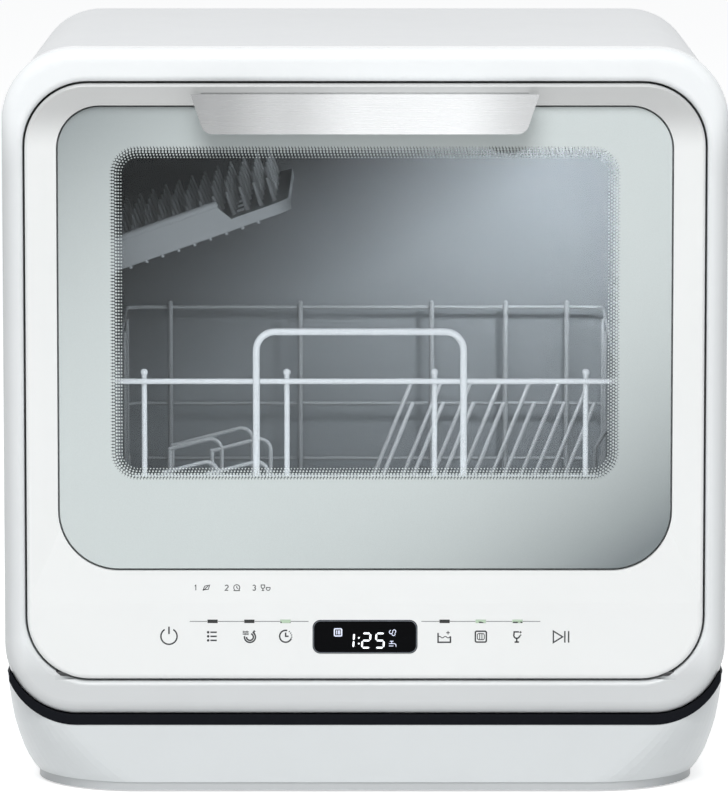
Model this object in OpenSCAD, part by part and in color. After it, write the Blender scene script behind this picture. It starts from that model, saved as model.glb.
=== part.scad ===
// Countertop dishwasher for two place settings.
// The front looks along minus Y, up is plus Z, and the feet stand on z = 0.
// Depths are counted from the front plane of the casing towards the rear.

/* [Overall] */
// width over the front frame
overall_w = 420; // [410:2:430]
// height from the worktop to the top
overall_h = 435; // [430:1:445]
// depth from the front plane to the rear panel
casing_d = 410; // [405:1:420]
// corner radius of the casing seen from the front
corner_r = 42; // [40:0.5:44]
// wall of the moulded casing
casing_wall = 2.5; // [2:0.1:3]

/* [Front frame] */
// depth of the separate front frame
frame_d = 21.5; // [20:0.5:23]
// rounding of its outer front edge
frame_edge_r = 8; // [5:0.5:8.4]
// rounding of the lip around the door
lip_r = 3.5; // [2.8:0.1:3.6]
// step from the frame down to the casing behind it
frame_step = 1.5; // [1:0.1:2]

/* [Base] */
// height of the underside of the casing
casing_lift = 46.2; // [45:0.2:48]
// height of the dark strip under the casing
band_h = 6.2; // [5:0.1:7]
// how far the dark strip lies behind the faces around it
band_recess = 2.5; // [1:0.1:4]
// height of the plinth lip
plinth_h = 6; // [5:0.5:6]
// how far the plinth lies inside the side of the casing
plinth_in = 17; // [16.5:0.5:20]
// radius of the rubber feet
foot_r = 11; // [9:0.5:14]

/* [Door] */
// width of the frame seen beside the door
door_side = 13.4; // [13:0.1:14]
// height of the frame seen above the door
door_top = 20.2; // [19:0.1:21]
// height of the frame seen below the door
door_bottom = 21.2; // [20.4:0.1:22]
// gap around the door
door_gap = 1.2; // [1:0.05:1.4]
// corner radius of the door
door_r = 36.5; // [36:0.25:37]
// rounding of the front edge of the door
door_edge_r = 3; // [2.6:0.1:3]
// depth of the outer door shell
door_t = 22; // [21:0.5:22.5]
// slope of the band around the glass, depth over width
dish_slope = 0.1667; // [0.12:0.005:0.18]
// slope of the control area towards the glass
panel_slope = 0.075; // [0.05:0.005:0.08]

/* [Door glass] */
// band between door edge and glass at the sides
glass_side = 18.4; // [18:0.1:20]
// band between door edge and glass at the top
glass_top = 13; // [12.5:0.1:13.2]
// height of the control area below the glass
glass_bottom = 63.8; // [63:0.2:66]
// thickness of the outer glass
glass_t = 4; // [3:0.25:4]
// depth of the face of the glass behind the front plane
glass_recess = 4.4; // [4.2:0.1:4.6]
// upper corner radius of the glass
glass_r_top = 25; // [22:0.5:28]
// lower corner radius of the glass
glass_r_bottom = 35; // [30:0.5:38]
// half width of the opening behind the glass
window_w2 = 150; // [146:0.5:151]

/* [Handle] */
// width of the handle plate at the top
handle_top_w = 200.6; // [190:0.2:210]
// width of its straight lower edge
handle_low_w = 175; // [160:0.2:176]
// height of the handle plate
handle_h = 23; // [20:0.5:26]
// reach of the handle in front of the door
handle_out = 10; // [8:0.5:14]
// thickness of the handle plate
handle_t = 2.4; // [2:0.1:3]
// radius of its lower corners
handle_r = 7; // [5:0.5:8]

/* [Control area] */
// half width of the display lens
lens_w2 = 30.4; // [28:0.2:31]
// height of the display lens
lens_h = 19.6; // [18:0.2:20]
// height of the middle of the lens above the lower door edge
lens_up = 25; // [24:0.2:26]
// length of an indicator bar
led_w = 5.8; // [4:0.2:7]
// height of an indicator bar
led_h = 1.9; // [1.4:0.1:2.4]

/* [Tub] */
// space between the side of the casing and the tub
tub_side = 32; // [31:0.5:33]
// space from the top of the casing to the tub ceiling
tub_top = 37; // [36.5:0.25:38]
// height of the tub floor
tub_z0 = 100; // [99:0.5:101]
// space between the tub and the rear face
tub_rear = 69; // [66:1:71]
// corner radius of the tub
tub_r = 30; // [24:0.5:32]
// thickness of the tub sheet
tub_t = 1.5; // [1:0.1:1.5]

/* [Dish rack] */
// half width of the rack
rack_w2 = 150; // [148:0.5:151]
// depth of the front rail
rack_front_d = 60; // [59:0.5:62]
// space between the rear wires and the tub
rack_rear = 13; // [12:0.5:15]
// height of the rack floor
rack_z0 = 138; // [137:0.5:140]
// height of the front rail
rail_z = 235; // [228:0.5:238]
// height of the rear rail
rear_z = 250; // [244:0.5:252]
// radius of the frame wires
wire_r = 1.6; // [1.4:0.05:1.8]
// radius of the thin wires
thin_r = 1.2; // [1:0.05:1.25]
// pitch of the plate tines
tine_pitch = 18.2; // [16:0.1:18.4]
// lean of the plate tines to the right
tine_lean = 22; // [15:0.5:23]
// height of the pull loop above the front rail
loop_up = 29.5; // [24:0.5:32]

/* [Cup shelf] */
// length of the shelf from its hinge
shelf_len = 136; // [128:1:138]
// slope of the shelf
shelf_tilt = 19.4; // [17:0.2:20]
// thickness of the shelf plate
shelf_t = 2.4; // [2:0.1:3]
// pitch of the short tines
shelf_pitch = 8.5; // [8:0.1:9.5]
// height of the short tines
shelf_tine_h = 18; // [14:0.5:19]

/* [Spray arm] */
// reach of the spray arm
arm_len = 144; // [130:1:146]
// width of the arm blades
arm_w = 26; // [22:0.5:30]
// play of the arm on its post
arm_play = 0.06; // [0.03:0.01:0.09]

/* [Pumps and water] */
// radius of the wash pump case
pump_r = 30; // [28:0.5:31]
// radius of the drain pump case
drain_r = 20; // [18:0.5:20.5]
// radius of the water inlet thread
inlet_r = 13.2; // [12:0.1:13.4]
// radius of the drain outlet
outlet_r = 9.5; // [8:0.1:10]
// reach of the fittings behind the rear panel
rear_out = 15; // [12:0.5:20]

/* [Hidden] */
$fn = 64;
e = 0.01;

// overall
half_w = overall_w / 2;
front_y = handle_out - (handle_out + casing_d + rear_out) / 2;
case_w2 = half_w - frame_step;
case_z0 = casing_lift + frame_step;
case_z1 = overall_h - frame_step;
case_r = corner_r - frame_step;
in_w2 = case_w2 - casing_wall;
in_z0 = case_z0 + casing_wall;
in_z1 = case_z1 - casing_wall;
in_r = case_r - casing_wall;
fit = 0.2;
back_t = 6;
back_edge_r = 5;
well_w2 = half_w - 60;
well_d0 = 70;
well_d1 = casing_d - 60;
plinth_w2 = half_w - plinth_in;

// door and hinge
door_w2 = half_w - door_side;
door_z0 = casing_lift + door_bottom;
door_z1 = overall_h - door_top;
mouth_w2 = door_w2 + door_gap;
mouth_r = door_r + door_gap;
hinge_d = 3;
hinge_z = door_z0 + 3;
pin_r = 1.5;
pin_play = 0.05;
pin_x0 = door_w2 - 30.6;
pin_x1 = pin_x0 + 25;
shell_wall = 3;
shell_front = 3.6;
glass_fit = 0.25;
glass_w2 = door_w2 - glass_side;
glass_z0 = door_z0 + glass_bottom;
glass_z1 = door_z1 - glass_top;
seat_d = glass_recess + glass_t;
window_z0 = glass_z0 + 51;
window_z1 = glass_z1 - 22;
window_r = 14;
control_w2 = 156;
panel_z = door_z0 + 44.6;
liner_in = 3.6;
liner_t = 2;
liner_d = door_t + liner_t;
raise_in = 8;
raise_d = liner_d + 10;
raise_r = 22;

// tub and what hangs on it
tub_front = liner_d + 6;
tub_w2 = half_w - tub_side;
tub_z1 = overall_h - tub_top;
tub_back = casing_d - tub_rear;
tub_mid = tub_back - 155;
flange_w2 = in_w2 - fit;
flange_z0 = in_z0 + fit;
flange_z1 = in_z1 - fit;
flange_r = in_r - fit;
latch_z = tub_z1 + 7.9;
latch_h = 4;

// water circuit
sump_x = 70;
sump_d = 120;
sump_r = 46;
well_r = 31;
sump_wall = 2;
sump_z0 = 18;
hose_wall = 2.5;
stub_r = 11;
pump_z = 46;
pump_d0 = sump_d + 54;
pump_d1 = pump_d0 + 28;
jet_r = 8;
jet_d = tub_mid;
jet_z = pump_z + 20;
jet_bend = 17;
feed_z = 84;
drain_x = -2;
drain_z = 30;
drain_out_z = 43;
drain_out_r = 6.5;
spigot_z = 70;
drain_bend = (spigot_z - drain_out_z) / 2;
drain_s = casing_d - 115;
inlet_x = half_w - 24;
inlet_z = 100;
valve_d = casing_d - 30;
valve_top = inlet_z + 27;
hose_top = inlet_z + 42;
vent_d = tub_back - 41;
vent_z = tub_z1 - 98;
gland_x = -(half_w - 60);
gland_z = 90;
gland_r = 4.2;
fan_x = 90;
fan_z = tub_z1 - 30;
fan_s = 28;
fan_r = 22;
filter_r = 29;
arm_z0 = tub_z0 + 9;
collar_out = 1;
collar_wall = 2;

// rack and shelf
rack_corner = 9;
upright_x = [-130, -46, 41, 130];
rear_x = [-122.6, -40.8, 42, 88.5, 127];
tine_top_z = 213;
tine_x0 = 28.4;
tine_count = 7;
rack_rear_d = tub_back - rack_rear;
rack_len = rack_rear_d - rack_front_d;
tine_d = [for (f = [0.26, 0.65]) rack_front_d + f * rack_len];
// rows of cup loops: cross wire of the floor, left end and right end
loop_rows = [[2, -120, -88], [2, -94, -58], [6, -120, -88], [6, -94, -58], [8, -120, -70]];
side_d = [for (f = [0.19, 0.39, 0.65, 0.82]) rack_front_d + f * rack_len];
loop_x0 = -64;
loop_x1 = 58;
glide_d = [for (f = [0.43, 0.836]) rack_front_d + f * rack_len];
glide_len = 38;
runner_w = 14;
runner_z = 142;
runner_h = 18;
shelf_x = -(tub_w2 - 6);
shelf_z = tub_z1 - 104.3;
shelf_d0 = 80;
shelf_d1 = tub_back - 41;

function yd(d) = front_y + d;

// rounded outline seen from the front: half width, low, high, upper and lower corner radius
module outline(w, z0, z1, rt, rb) {
    translate([-w, z0 + rb]) square([2 * w, z1 - z0 - rt - rb]);
    translate([rb - w, z0]) square([2 * (w - rb), rb]);
    translate([rt - w, z1 - rt]) square([2 * (w - rt), rt]);
    for (s = [-1, 1]) {
        translate([s * (w - rb), z0 + rb]) circle(rb);
        translate([s * (w - rt), z1 - rt]) circle(rt);
    }
}

// the outline given a depth
module slab(w, z0, z1, rt, rb, d0, d1) {
    translate([0, yd(d1), 0]) rotate([90, 0, 0]) linear_extrude(d1 - d0) outline(w, z0, z1, rt, rb);
}

// children are a section, x outwards and y in depth, led around the outline
module around(w, z0, z1, rt, rb) {
    corners = [[w - rt, z1 - rt, 270, rt], [rt - w, z1 - rt, 180, rt],
        [rb - w, z0 + rb, 90, rb], [w - rb, z0 + rb, 0, rb]];
    for (c = corners)
        translate([c[0], front_y, c[1]]) rotate([-90, 0, 0]) rotate([0, 0, c[2]])
            rotate_extrude(angle = 90) translate([c[3], 0]) children();
    side = z1 - z0 - rt - rb;
    translate([w, front_y, z0 + rb]) linear_extrude(side) children();
    translate([-w, front_y, z1 - rt]) rotate([0, 180, 0]) linear_extrude(side) children();
    translate([w - rt, front_y, z1]) rotate([0, -90, 0]) linear_extrude(2 * (w - rt)) children();
    translate([rb - w, front_y, z0]) rotate([0, 90, 0]) linear_extrude(2 * (w - rb)) children();
}

// section that rounds off an outer edge facing the front, at depth d
module round_off(r, d) {
    difference() {
        translate([-r, d - 1]) square([r + 1, r + 1]);
        translate([-r, d + r]) circle(r);
    }
}

// section that rounds off an outer edge facing the rear
module round_back(r, d) {
    difference() {
        translate([-r, d - r]) square([r + 1, r + 1]);
        translate([-r, d - r]) circle(r);
    }
}

// section that rounds off the edge of an opening facing the front
module round_lip(r) {
    difference() {
        translate([-1, -1]) square([r + 1, r + 1]);
        translate([r, r]) circle(r);
    }
}

// box from x0 to x1, depth d0 to d1, height z0 to z1
module block(x0, x1, d0, d1, z0, z1) {
    translate([x0, yd(d0), z0]) cube([x1 - x0, d1 - d0, z1 - z0]);
}

// round bars along X, along the depth and upright
module bar_x(x0, x1, d, z, r) {
    translate([x0, yd(d), z]) rotate([0, 90, 0]) cylinder(r = r, h = x1 - x0);
}
module bar_y(x, d0, d1, z, r) {
    translate([x, yd(d1), z]) rotate([90, 0, 0]) cylinder(r = r, h = d1 - d0);
}
module bar_z(x, d, z0, z1, r) {
    translate([x, yd(d), z0]) cylinder(r = r, h = z1 - z0);
}

// round bar between two points given as x, depth, z
module rod(a, b, r) {
    v = b - a;
    l = norm(v);
    translate([a[0], yd(a[1]), a[2]]) rotate([0, acos(v[2] / l), atan2(v[1], v[0])])
        cylinder(r = r, h = l);
}

// bent bars: turned in the front view, in the plan and in the side view
module bend_front(x, d, z, bend, r, a0, turn) {
    translate([x, yd(d), z]) rotate([90, 0, 0]) rotate([0, 0, a0])
        rotate_extrude(angle = turn) translate([bend, 0]) circle(r);
}
module bend_plan(x, d, z, bend, r, a0, turn) {
    translate([x, yd(d), z]) rotate([0, 0, a0])
        rotate_extrude(angle = turn) translate([bend, 0]) circle(r);
}
module bend_side(x, d, z, bend, r, a0, turn) {
    translate([x, yd(d), z]) rotate([90, 0, 90]) rotate([0, 0, a0])
        rotate_extrude(angle = turn) translate([bend, 0]) circle(r);
}

// rounded plan shape with a height
module plan(w, d0, d1, r, z0, z1) {
    translate([0, 0, z0]) linear_extrude(z1 - z0) {
        translate([-w, yd(d0 + r)]) square([2 * w, d1 - d0 - 2 * r]);
        translate([r - w, yd(d0)]) square([2 * (w - r), d1 - d0]);
        for (s = [-1, 1], d = [d0 + r, d1 - r]) translate([s * (w - r), yd(d)]) circle(r);
    }
}

// space the door takes when it lies open, with a margin
module open_door(margin) {
    translate([0, yd(hinge_d), hinge_z]) rotate([90, 0, 0]) translate([0, -yd(hinge_d), -hinge_z])
        slab(door_w2 + margin, door_z0 - margin, door_z1, door_r + margin, door_r + margin,
            -margin, door_t);
}

module front_frame() {
    color("White")
    difference() {
        union() {
            slab(half_w, casing_lift, overall_h, corner_r, corner_r, 0, frame_d);
            slab(in_w2 - fit, in_z0 + fit, in_z1 - fit, in_r - fit, in_r - fit, frame_d, tub_front);
        }
        slab(mouth_w2, door_z0 - door_gap, door_z1 + door_gap, mouth_r, mouth_r,
            -1, tub_front + 1);
        around(half_w, casing_lift, overall_h, corner_r, corner_r) round_off(frame_edge_r, 0);
        around(mouth_w2, door_z0 - door_gap, door_z1 + door_gap, mouth_r, mouth_r) round_lip(lip_r);
        open_door(fit + 0.1);
        for (s = [-1, 1]) mirror([s < 0 ? 1 : 0, 0, 0])
            bar_x(pin_x0, pin_x1, hinge_d, hinge_z, pin_r);
    }
}

module casing() {
    rib_w = 1.6;
    rib_h = 3;
    color("Gainsboro")
    difference() {
        slab(case_w2, case_z0, case_z1, case_r, case_r, frame_d, casing_d - back_t);
        slab(in_w2, in_z0, in_z1, in_r, in_r, frame_d - 1, casing_d);
        block(-well_w2, well_w2, well_d0, well_d1, case_z0 - 1, in_z0 + 1);
    }
    // stiffening ribs under the roof
    color("Gainsboro")
    for (x = [-120, -40, 40, 120])
        block(x - rib_w / 2, x + rib_w / 2, tub_front + 15, casing_d - 30, in_z1 - rib_h, in_z1 + 1);
}

module back_panel() {
    skin = 2.5;
    field_w2 = half_w - 38;
    field_z0 = case_z0 + 86;
    field_z1 = case_z1 - 103.5;
    slot_w = 1.6;
    slot_h = 3.2;
    slot_pitch = 6.4;
    color("Gainsboro")
    difference() {
        union() {
            slab(case_w2, case_z0, case_z1, case_r, case_r, casing_d - back_t, casing_d);
            slab(in_w2 - fit, in_z0 + fit, in_z1 - fit, in_r - fit, in_r - fit,
                casing_d - back_t - 8, casing_d - back_t);
        }
        slab(in_w2 - 3, in_z0 + 3, in_z1 - 3, in_r - 3, in_r - 3, casing_d - back_t - 9,
            casing_d - skin);
        around(case_w2, case_z0, case_z1, case_r, case_r) round_back(back_edge_r, casing_d);
        // raised border left by a shallow field
        slab(field_w2, field_z0, field_z1, 16, 16, casing_d - 0.8, casing_d + 1);
        // air outlet of the dryer
        for (i = [-3:3]) {
            z = fan_z + i * slot_pitch;
            block(fan_x - 20, fan_x + 20, casing_d - skin - 1, casing_d + 1,
                z - slot_h / 2, z + slot_h / 2);
        }
        // lower vents
        for (i = [-5:5])
            block(50 + i * slot_pitch - slot_w / 2, 50 + i * slot_pitch + slot_w / 2,
                casing_d - skin - 1, casing_d + 1, 66, 96);
        bar_y(inlet_x, casing_d - 10, casing_d + 1, inlet_z, inlet_r + collar_wall + fit);
        bar_y(drain_x, casing_d - 10, casing_d + 1, spigot_z, outlet_r + collar_wall + fit);
        bar_y(gland_x, casing_d - 10, casing_d + 1, gland_z, 7);
        for (p = screw_xz) bar_y(p[0], casing_d - 10, casing_d + 1, p[1], 1.9);
    }
    // posts the screws are driven through
    color("Gainsboro")
    for (p = screw_xz) difference() {
        bar_y(p[0], casing_d - back_t - 8, casing_d - skin + e, p[1], 4.2);
        bar_y(p[0], casing_d - back_t - 9, casing_d + 1, p[1], 1.9);
    }
}

screw_xz = [[90 - half_w, in_z1 - 12], [0, in_z1 - 12], [half_w - 60, in_z1 - 12],
    [90 - half_w, in_z0 + 12], [half_w - 102, in_z0 + 12]];

module panel_screws() {
    color("Silver")
    for (p = screw_xz) {
        bar_y(p[0], casing_d - back_t - 12, casing_d, p[1], 1.9);
        difference() {
            bar_y(p[0], casing_d, casing_d + 2.2, p[1], 3.6);
            block(p[0] - 2.4, p[0] + 2.4, casing_d + 1.2, casing_d + 3, p[1] - 0.5, p[1] + 0.5);
            block(p[0] - 0.5, p[0] + 0.5, casing_d + 1.2, casing_d + 3, p[1] - 2.4, p[1] + 2.4);
        }
    }
}

// sections of the base: height, half width, corner radius in plan
bowl_rows = [[plinth_h, 194.5, 62], [10, 197, 58], [15, 199.4, 54], [20, 201.3, 50], [30, 204, 42],
    [40, 206.2, 35], [50, 207.5, 29], [60, 208.5, 23], [70, 209.2, 18]];
bowl_seg = 14;
bowl_half = 210;
bowl_top_w = 209.2;
function bowl_scale(w) = w * half_w / bowl_half;
function bowl_front(w) = (bowl_top_w - w) * 0.2;
function bowl_ring(row) = [
    for (q = [0:3], i = [0:bowl_seg])
        let (a = q * 90 + 90 * i / bowl_seg, w = bowl_scale(row[1]), r = row[2],
            sx = (q == 0 || q == 3) ? 1 : -1,
            cy = q < 2 ? yd(casing_d - bowl_front(row[1])) - r : yd(bowl_front(row[1])) + r)
        [sx * (w - r) + r * cos(a), cy + r * sin(a), row[0]]];

module bowl() {
    m = 4 * (bowl_seg + 1);
    n = len(bowl_rows);
    points = [for (row = bowl_rows) for (p = bowl_ring(row)) p];
    walls = [for (k = [0:n - 2], i = [0:m - 1], h = [0, 1]) let (j = (i + 1) % m)
        h == 0 ? [k * m + i, (k + 1) * m + i, (k + 1) * m + j] : [k * m + i, (k + 1) * m + j, k * m + j]];
    floor_face = [[for (i = [0:m - 1]) i]];
    roof_face = [[for (i = [0:m - 1]) n * m - 1 - i]];
    polyhedron(points = points, faces = concat(walls, floor_face, roof_face));
}

cradle_z = casing_lift - band_h;

module base() {
    deck = 3;
    color("White")
    difference() {
        bowl();
        slab(half_w + 1, cradle_z, overall_h, 1, corner_r + 1, -5, casing_d + 5);
        plan(half_w - 20, 8, casing_d - 8, 46, plinth_h + 3, 24);
        plan(half_w - 14, 8, casing_d - 8, 46, 24, cradle_z - deck);
        plan(half_w - 40, 40, casing_d - 40, 30, cradle_z - deck - 1, cradle_z + 1);
    }
}

module base_band() {
    w = half_w - band_recess;
    color("DimGray")
    difference() {
        intersection() {
            slab(half_w + 1, cradle_z, casing_lift + 60, 1, corner_r + 1,
                band_recess, casing_d - band_recess);
            block(-w, w, 0, casing_d, cradle_z - 1, casing_lift + 24);
        }
        slab(half_w, casing_lift, overall_h, corner_r, corner_r, -1, frame_d);
        slab(case_w2, case_z0, case_z1, case_r, case_r, frame_d - e, casing_d + 1);
        plan(half_w - 40, 40, casing_d - 40, 30, cradle_z - 1, case_z0 + 1);
    }
}

foot_x = plinth_w2 - 40;
foot_d = [44, casing_d - 44];

module plinth() {
    color("White")
    difference() {
        plan(plinth_w2, 3.6, casing_d - 3.6, 60, 1, plinth_h);
        for (s = [-1, 1], d = foot_d) bar_z(s * foot_x, d, 0, 3, foot_r + fit);
        // drip slots
        for (i = [-5:5])
            block(i * 20 - 2, i * 20 + 2, casing_d - 160, casing_d - 80, 0, plinth_h + 1);
    }
}

module feet() {
    color("DimGray")
    for (s = [-1, 1], d = foot_d) difference() {
        bar_z(s * foot_x, d, 0, 3, foot_r);
        bar_z(s * foot_x, d, -1, 0.6, foot_r - 4);
    }
}

heater_r = 125;
heater_z = 105;
heater_d = tub_back - 166;

module tub() {
    bead_r = 1.8;
    color("LightSteelBlue")
    difference() {
        union() {
            slab(tub_w2 + tub_t, tub_z0 - tub_t, tub_z1 + tub_t, tub_r + tub_t, tub_r + tub_t,
                tub_front, tub_back + tub_t);
            slab(flange_w2, flange_z0, flange_z1, flange_r, flange_r, tub_front, tub_front + tub_t);
        }
        slab(tub_w2, tub_z0, tub_z1, tub_r, tub_r, tub_front - 1, tub_back);
        bar_z(sump_x, sump_d, tub_z0 - 5, tub_z0 + 5, sump_r);
        bar_z(0, tub_mid, tub_z0 - 5, tub_z0 + 5, jet_r);
        for (s = [-1, 1]) bar_y(s * heater_r, tub_back - 5, tub_back + 5, heater_z, 3.2);
        bar_y(fan_x, tub_back - 5, tub_back + 5, fan_z, fan_r);
        bar_x(tub_w2 - 5, tub_w2 + 5, vent_d, vent_z, 8);
        block(-16, 16, tub_front - 1, tub_front + 5, latch_z - 1.2, latch_z + 11);
    }
    // pressed beads that stiffen the rear wall
    color("LightSteelBlue")
    for (x = [-110, -55, 0, 55]) {
        intersection() {
            bar_z(x, tub_back, tub_z1 - 38, tub_z1 - 10, bead_r);
            block(x - 3, x + 3, tub_back - 3, tub_back + 0.5, tub_z1 - 48, tub_z1 - 3);
        }
    }
}

module tub_seal() {
    foot_w2 = 3;
    bulb_r = 2.3;
    color("DimGray")
    around(tub_w2 + 6, tub_z0 - 6, tub_z1 + 3.5, tub_r + 5, tub_r + 5) difference() {
        union() {
            translate([-foot_w2, tub_front - 2]) square([2 * foot_w2, 2]);
            translate([0, tub_front - 3.2]) circle(bulb_r);
        }
        translate([0, tub_front - 3.2]) circle(bulb_r - 1);
    }
}

module sump() {
    top = tub_z0 - tub_t;
    flange_t = 3;
    cone_z = 72;
    color("DimGray")
    difference() {
        union() {
            bar_z(sump_x, sump_d, top - flange_t, top, sump_r + 6);
            translate([sump_x, yd(sump_d), cone_z])
                cylinder(r1 = well_r + sump_wall, r2 = sump_r + sump_wall, h = top - cone_z);
            bar_z(sump_x, sump_d, sump_z0 - sump_wall, cone_z + e, well_r + sump_wall);
            bar_y(sump_x, sump_d, sump_d + 46, pump_z, stub_r);
            bar_x(sump_x - 50, sump_x, sump_d, drain_z, 10);
        }
        translate([sump_x, yd(sump_d), cone_z])
            cylinder(r1 = well_r, r2 = sump_r, h = top - cone_z + e);
        bar_z(sump_x, sump_d, sump_z0, cone_z + 1, well_r);
        bar_y(sump_x, sump_d, sump_d + 50, pump_z, stub_r - 2);
        bar_x(sump_x - 60, sump_x, sump_d, drain_z, 8);
    }
}

module filter_plate() {
    plate_t = 1.5;
    hole_r = 1.5;
    color("Silver")
    difference() {
        bar_z(sump_x, sump_d, tub_z0 - 4, tub_z0 - 4 + plate_t, sump_r - 1.6);
        bar_z(sump_x, sump_d, tub_z0 - 6, tub_z0 + 1, filter_r + 0.5);
        for (ring = [0, 1], i = [0:29])
            translate([sump_x, yd(sump_d), tub_z0 - 6]) rotate([0, 0, i * 12 + ring * 6])
                translate([filter_r + 3.6 + ring * 5, 0]) cylinder(r = hole_r, h = 6);
    }
}

module filter_cartridge() {
    top = tub_z0 + 1;
    low = sump_z0 + 6;
    skin = 1.6;
    window_h = 10;
    color("Silver")
    difference() {
        union() {
            bar_z(sump_x, sump_d, low, top, filter_r - 1);
            bar_z(sump_x, sump_d, top - 4, top, filter_r);
        }
        bar_z(sump_x, sump_d, low + skin, top + 1, filter_r - 1 - skin);
        for (z = [low + 8, low + 22, low + 36], i = [0:5])
            translate([sump_x, yd(sump_d), z]) rotate([0, 0, i * 30])
                translate([-40, -4, 0]) cube([80, 8, window_h]);
    }
    // bar to turn the filter by
    color("Silver")
    difference() {
        intersection() {
            block(sump_x - 40, sump_x + 40, sump_d - 2.5, sump_d + 2.5, top - 12, top + 6);
            bar_z(sump_x, sump_d, top - 12, top + 6, filter_r - 1 - skin / 2);
        }
        bar_z(sump_x - 13, sump_d, top - 13, top - 3, 6);
        bar_z(sump_x + 13, sump_d, top - 13, top - 3, 6);
    }
}

post_r = 9;
post_top = arm_z0 + 12.5;

module arm_feed() {
    color("DimGray")
    difference() {
        union() {
            bar_z(0, tub_mid, feed_z, tub_z0, jet_r);
            bar_z(0, tub_mid, tub_z0, tub_z0 + 2.5, 20);
            bar_z(0, tub_mid, tub_z0 + 2.5, arm_z0 - 0.4, 12);
            bar_z(0, tub_mid, arm_z0 - 0.4, post_top, post_r);
        }
        bar_z(0, tub_mid, feed_z - 1, post_top + 1, jet_r - 2);
    }
}

module spray_arm() {
    crown = 24;
    blade_z = arm_z0 + 4;
    blade_h = 12;
    color("Silver")
    difference() {
        union() {
            bar_z(0, tub_mid, arm_z0, blade_z + blade_h + 1, 15);
            intersection() {
                translate([0, yd(tub_mid), blade_z]) linear_extrude(blade_h) union() {
                    square([2 * (arm_len - arm_w / 2), arm_w], center = true);
                    for (s = [-1, 1]) translate([s * (arm_len - arm_w / 2), 0]) circle(arm_w / 2);
                }
                bar_x(-arm_len - 1, arm_len + 1, tub_mid, blade_z + blade_h - crown, crown);
            }
        }
        bar_z(0, tub_mid, arm_z0 - 1, post_top + 0.5, post_r + arm_play);
        // water way and nozzles
        bar_x(-arm_len + 12, arm_len - 12, tub_mid, blade_z + 4.5, 3);
        for (s = [-1, 1], i = [0:4])
            translate([s * (34 + i * 22), yd(tub_mid), blade_z + 4]) rotate([s * 12, 0, 0])
                cylinder(r = 1.4, h = 12);
    }
}

module heater() {
    tube_r = 3.2;
    color("Silver") {
        bend_plan(0, heater_d, heater_z, heater_r, tube_r, 180, 180);
        for (s = [-1, 1]) {
            bar_y(s * heater_r, heater_d, tub_back + 14, heater_z, tube_r);
            difference() {
                bar_y(s * heater_r, tub_back + tub_t, tub_back + tub_t + 3, heater_z, 9);
                bar_y(s * heater_r, tub_back, tub_back + 9, heater_z, tube_r - 0.2);
            }
        }
    }
}

module wash_pump() {
    inner = pump_r - 2.5;
    color("DimGray")
    difference() {
        union() {
            bar_y(sump_x, pump_d0, pump_d1, pump_z, pump_r);
            bar_y(sump_x, sump_d + 36, pump_d0 + e, pump_z, stub_r + 3);
            bar_x(28, sump_x, jet_d, jet_z, jet_r);
        }
        bar_y(sump_x, pump_d0 + 3, pump_d1 + 1, pump_z, inner);
        bar_y(sump_x, sump_d + 30, sump_d + 46 + e, pump_z, stub_r);
        bar_y(sump_x, sump_d + 40, pump_d0 + 4, pump_z, stub_r - 2);
        bar_x(20, sump_x, jet_d, jet_z, jet_r - 2);
    }
}

module wash_motor() {
    shaft_r = 2.5;
    color("Silver")
    difference() {
        union() {
            bar_y(sump_x, pump_d1, pump_d1 + 3, pump_z, pump_r);
            bar_y(sump_x, pump_d1 + 3, pump_d1 + 60, pump_z, pump_r - 4);
            bar_y(sump_x, pump_d1 + 60, pump_d1 + 66, pump_z, pump_r - 16);
        }
        bar_y(sump_x, pump_d1 - 1, pump_d1 + 20, pump_z, shaft_r + 0.05);
        for (i = [0:11]) translate([sump_x, yd(pump_d1 + 12), pump_z]) rotate([0, i * 30, 0])
            translate([pump_r - 5.5, 0, -1.2]) cube([4, 40, 2.4]);
    }
}

module wash_impeller() {
    shaft_r = 2.5;
    color("White") {
        bar_y(sump_x, pump_d1 - 8, pump_d1 - 5.5, pump_z, 23);
        bar_y(sump_x, pump_d0 + 8, pump_d1 + 18, pump_z, shaft_r);
        bar_y(sump_x, pump_d0 + 8, pump_d1 - 5.5, pump_z, 6);
        intersection() {
            for (i = [0:5]) translate([sump_x, yd(pump_d0 + 9), pump_z]) rotate([0, i * 60, 0])
                translate([4, 0, -5]) rotate([0, -20, 0]) cube([19, pump_d1 - pump_d0 - 16, 2]);
            bar_y(sump_x, pump_d0, pump_d1, pump_z, 23);
        }
    }
}

module spray_hose() {
    outer = jet_r + hose_wall;
    bend_z = jet_z + jet_bend;
    color("Black") {
        difference() {
            bar_x(jet_bend, 36, jet_d, jet_z, outer);
            bar_x(jet_bend - 1, 37, jet_d, jet_z, jet_r);
        }
        translate([jet_bend, yd(jet_d), bend_z]) rotate([90, 0, 0]) rotate([0, 0, 180])
            rotate_extrude(angle = 90) translate([jet_bend, 0]) difference() {
                circle(outer);
                circle(jet_r);
            }
        difference() {
            bar_z(0, jet_d, bend_z, tub_z0 - 4, outer);
            bar_z(0, jet_d, bend_z - 1, tub_z0, jet_r);
        }
    }
}

drain_x0 = drain_x - 12;
drain_x1 = drain_x + 12;

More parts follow.
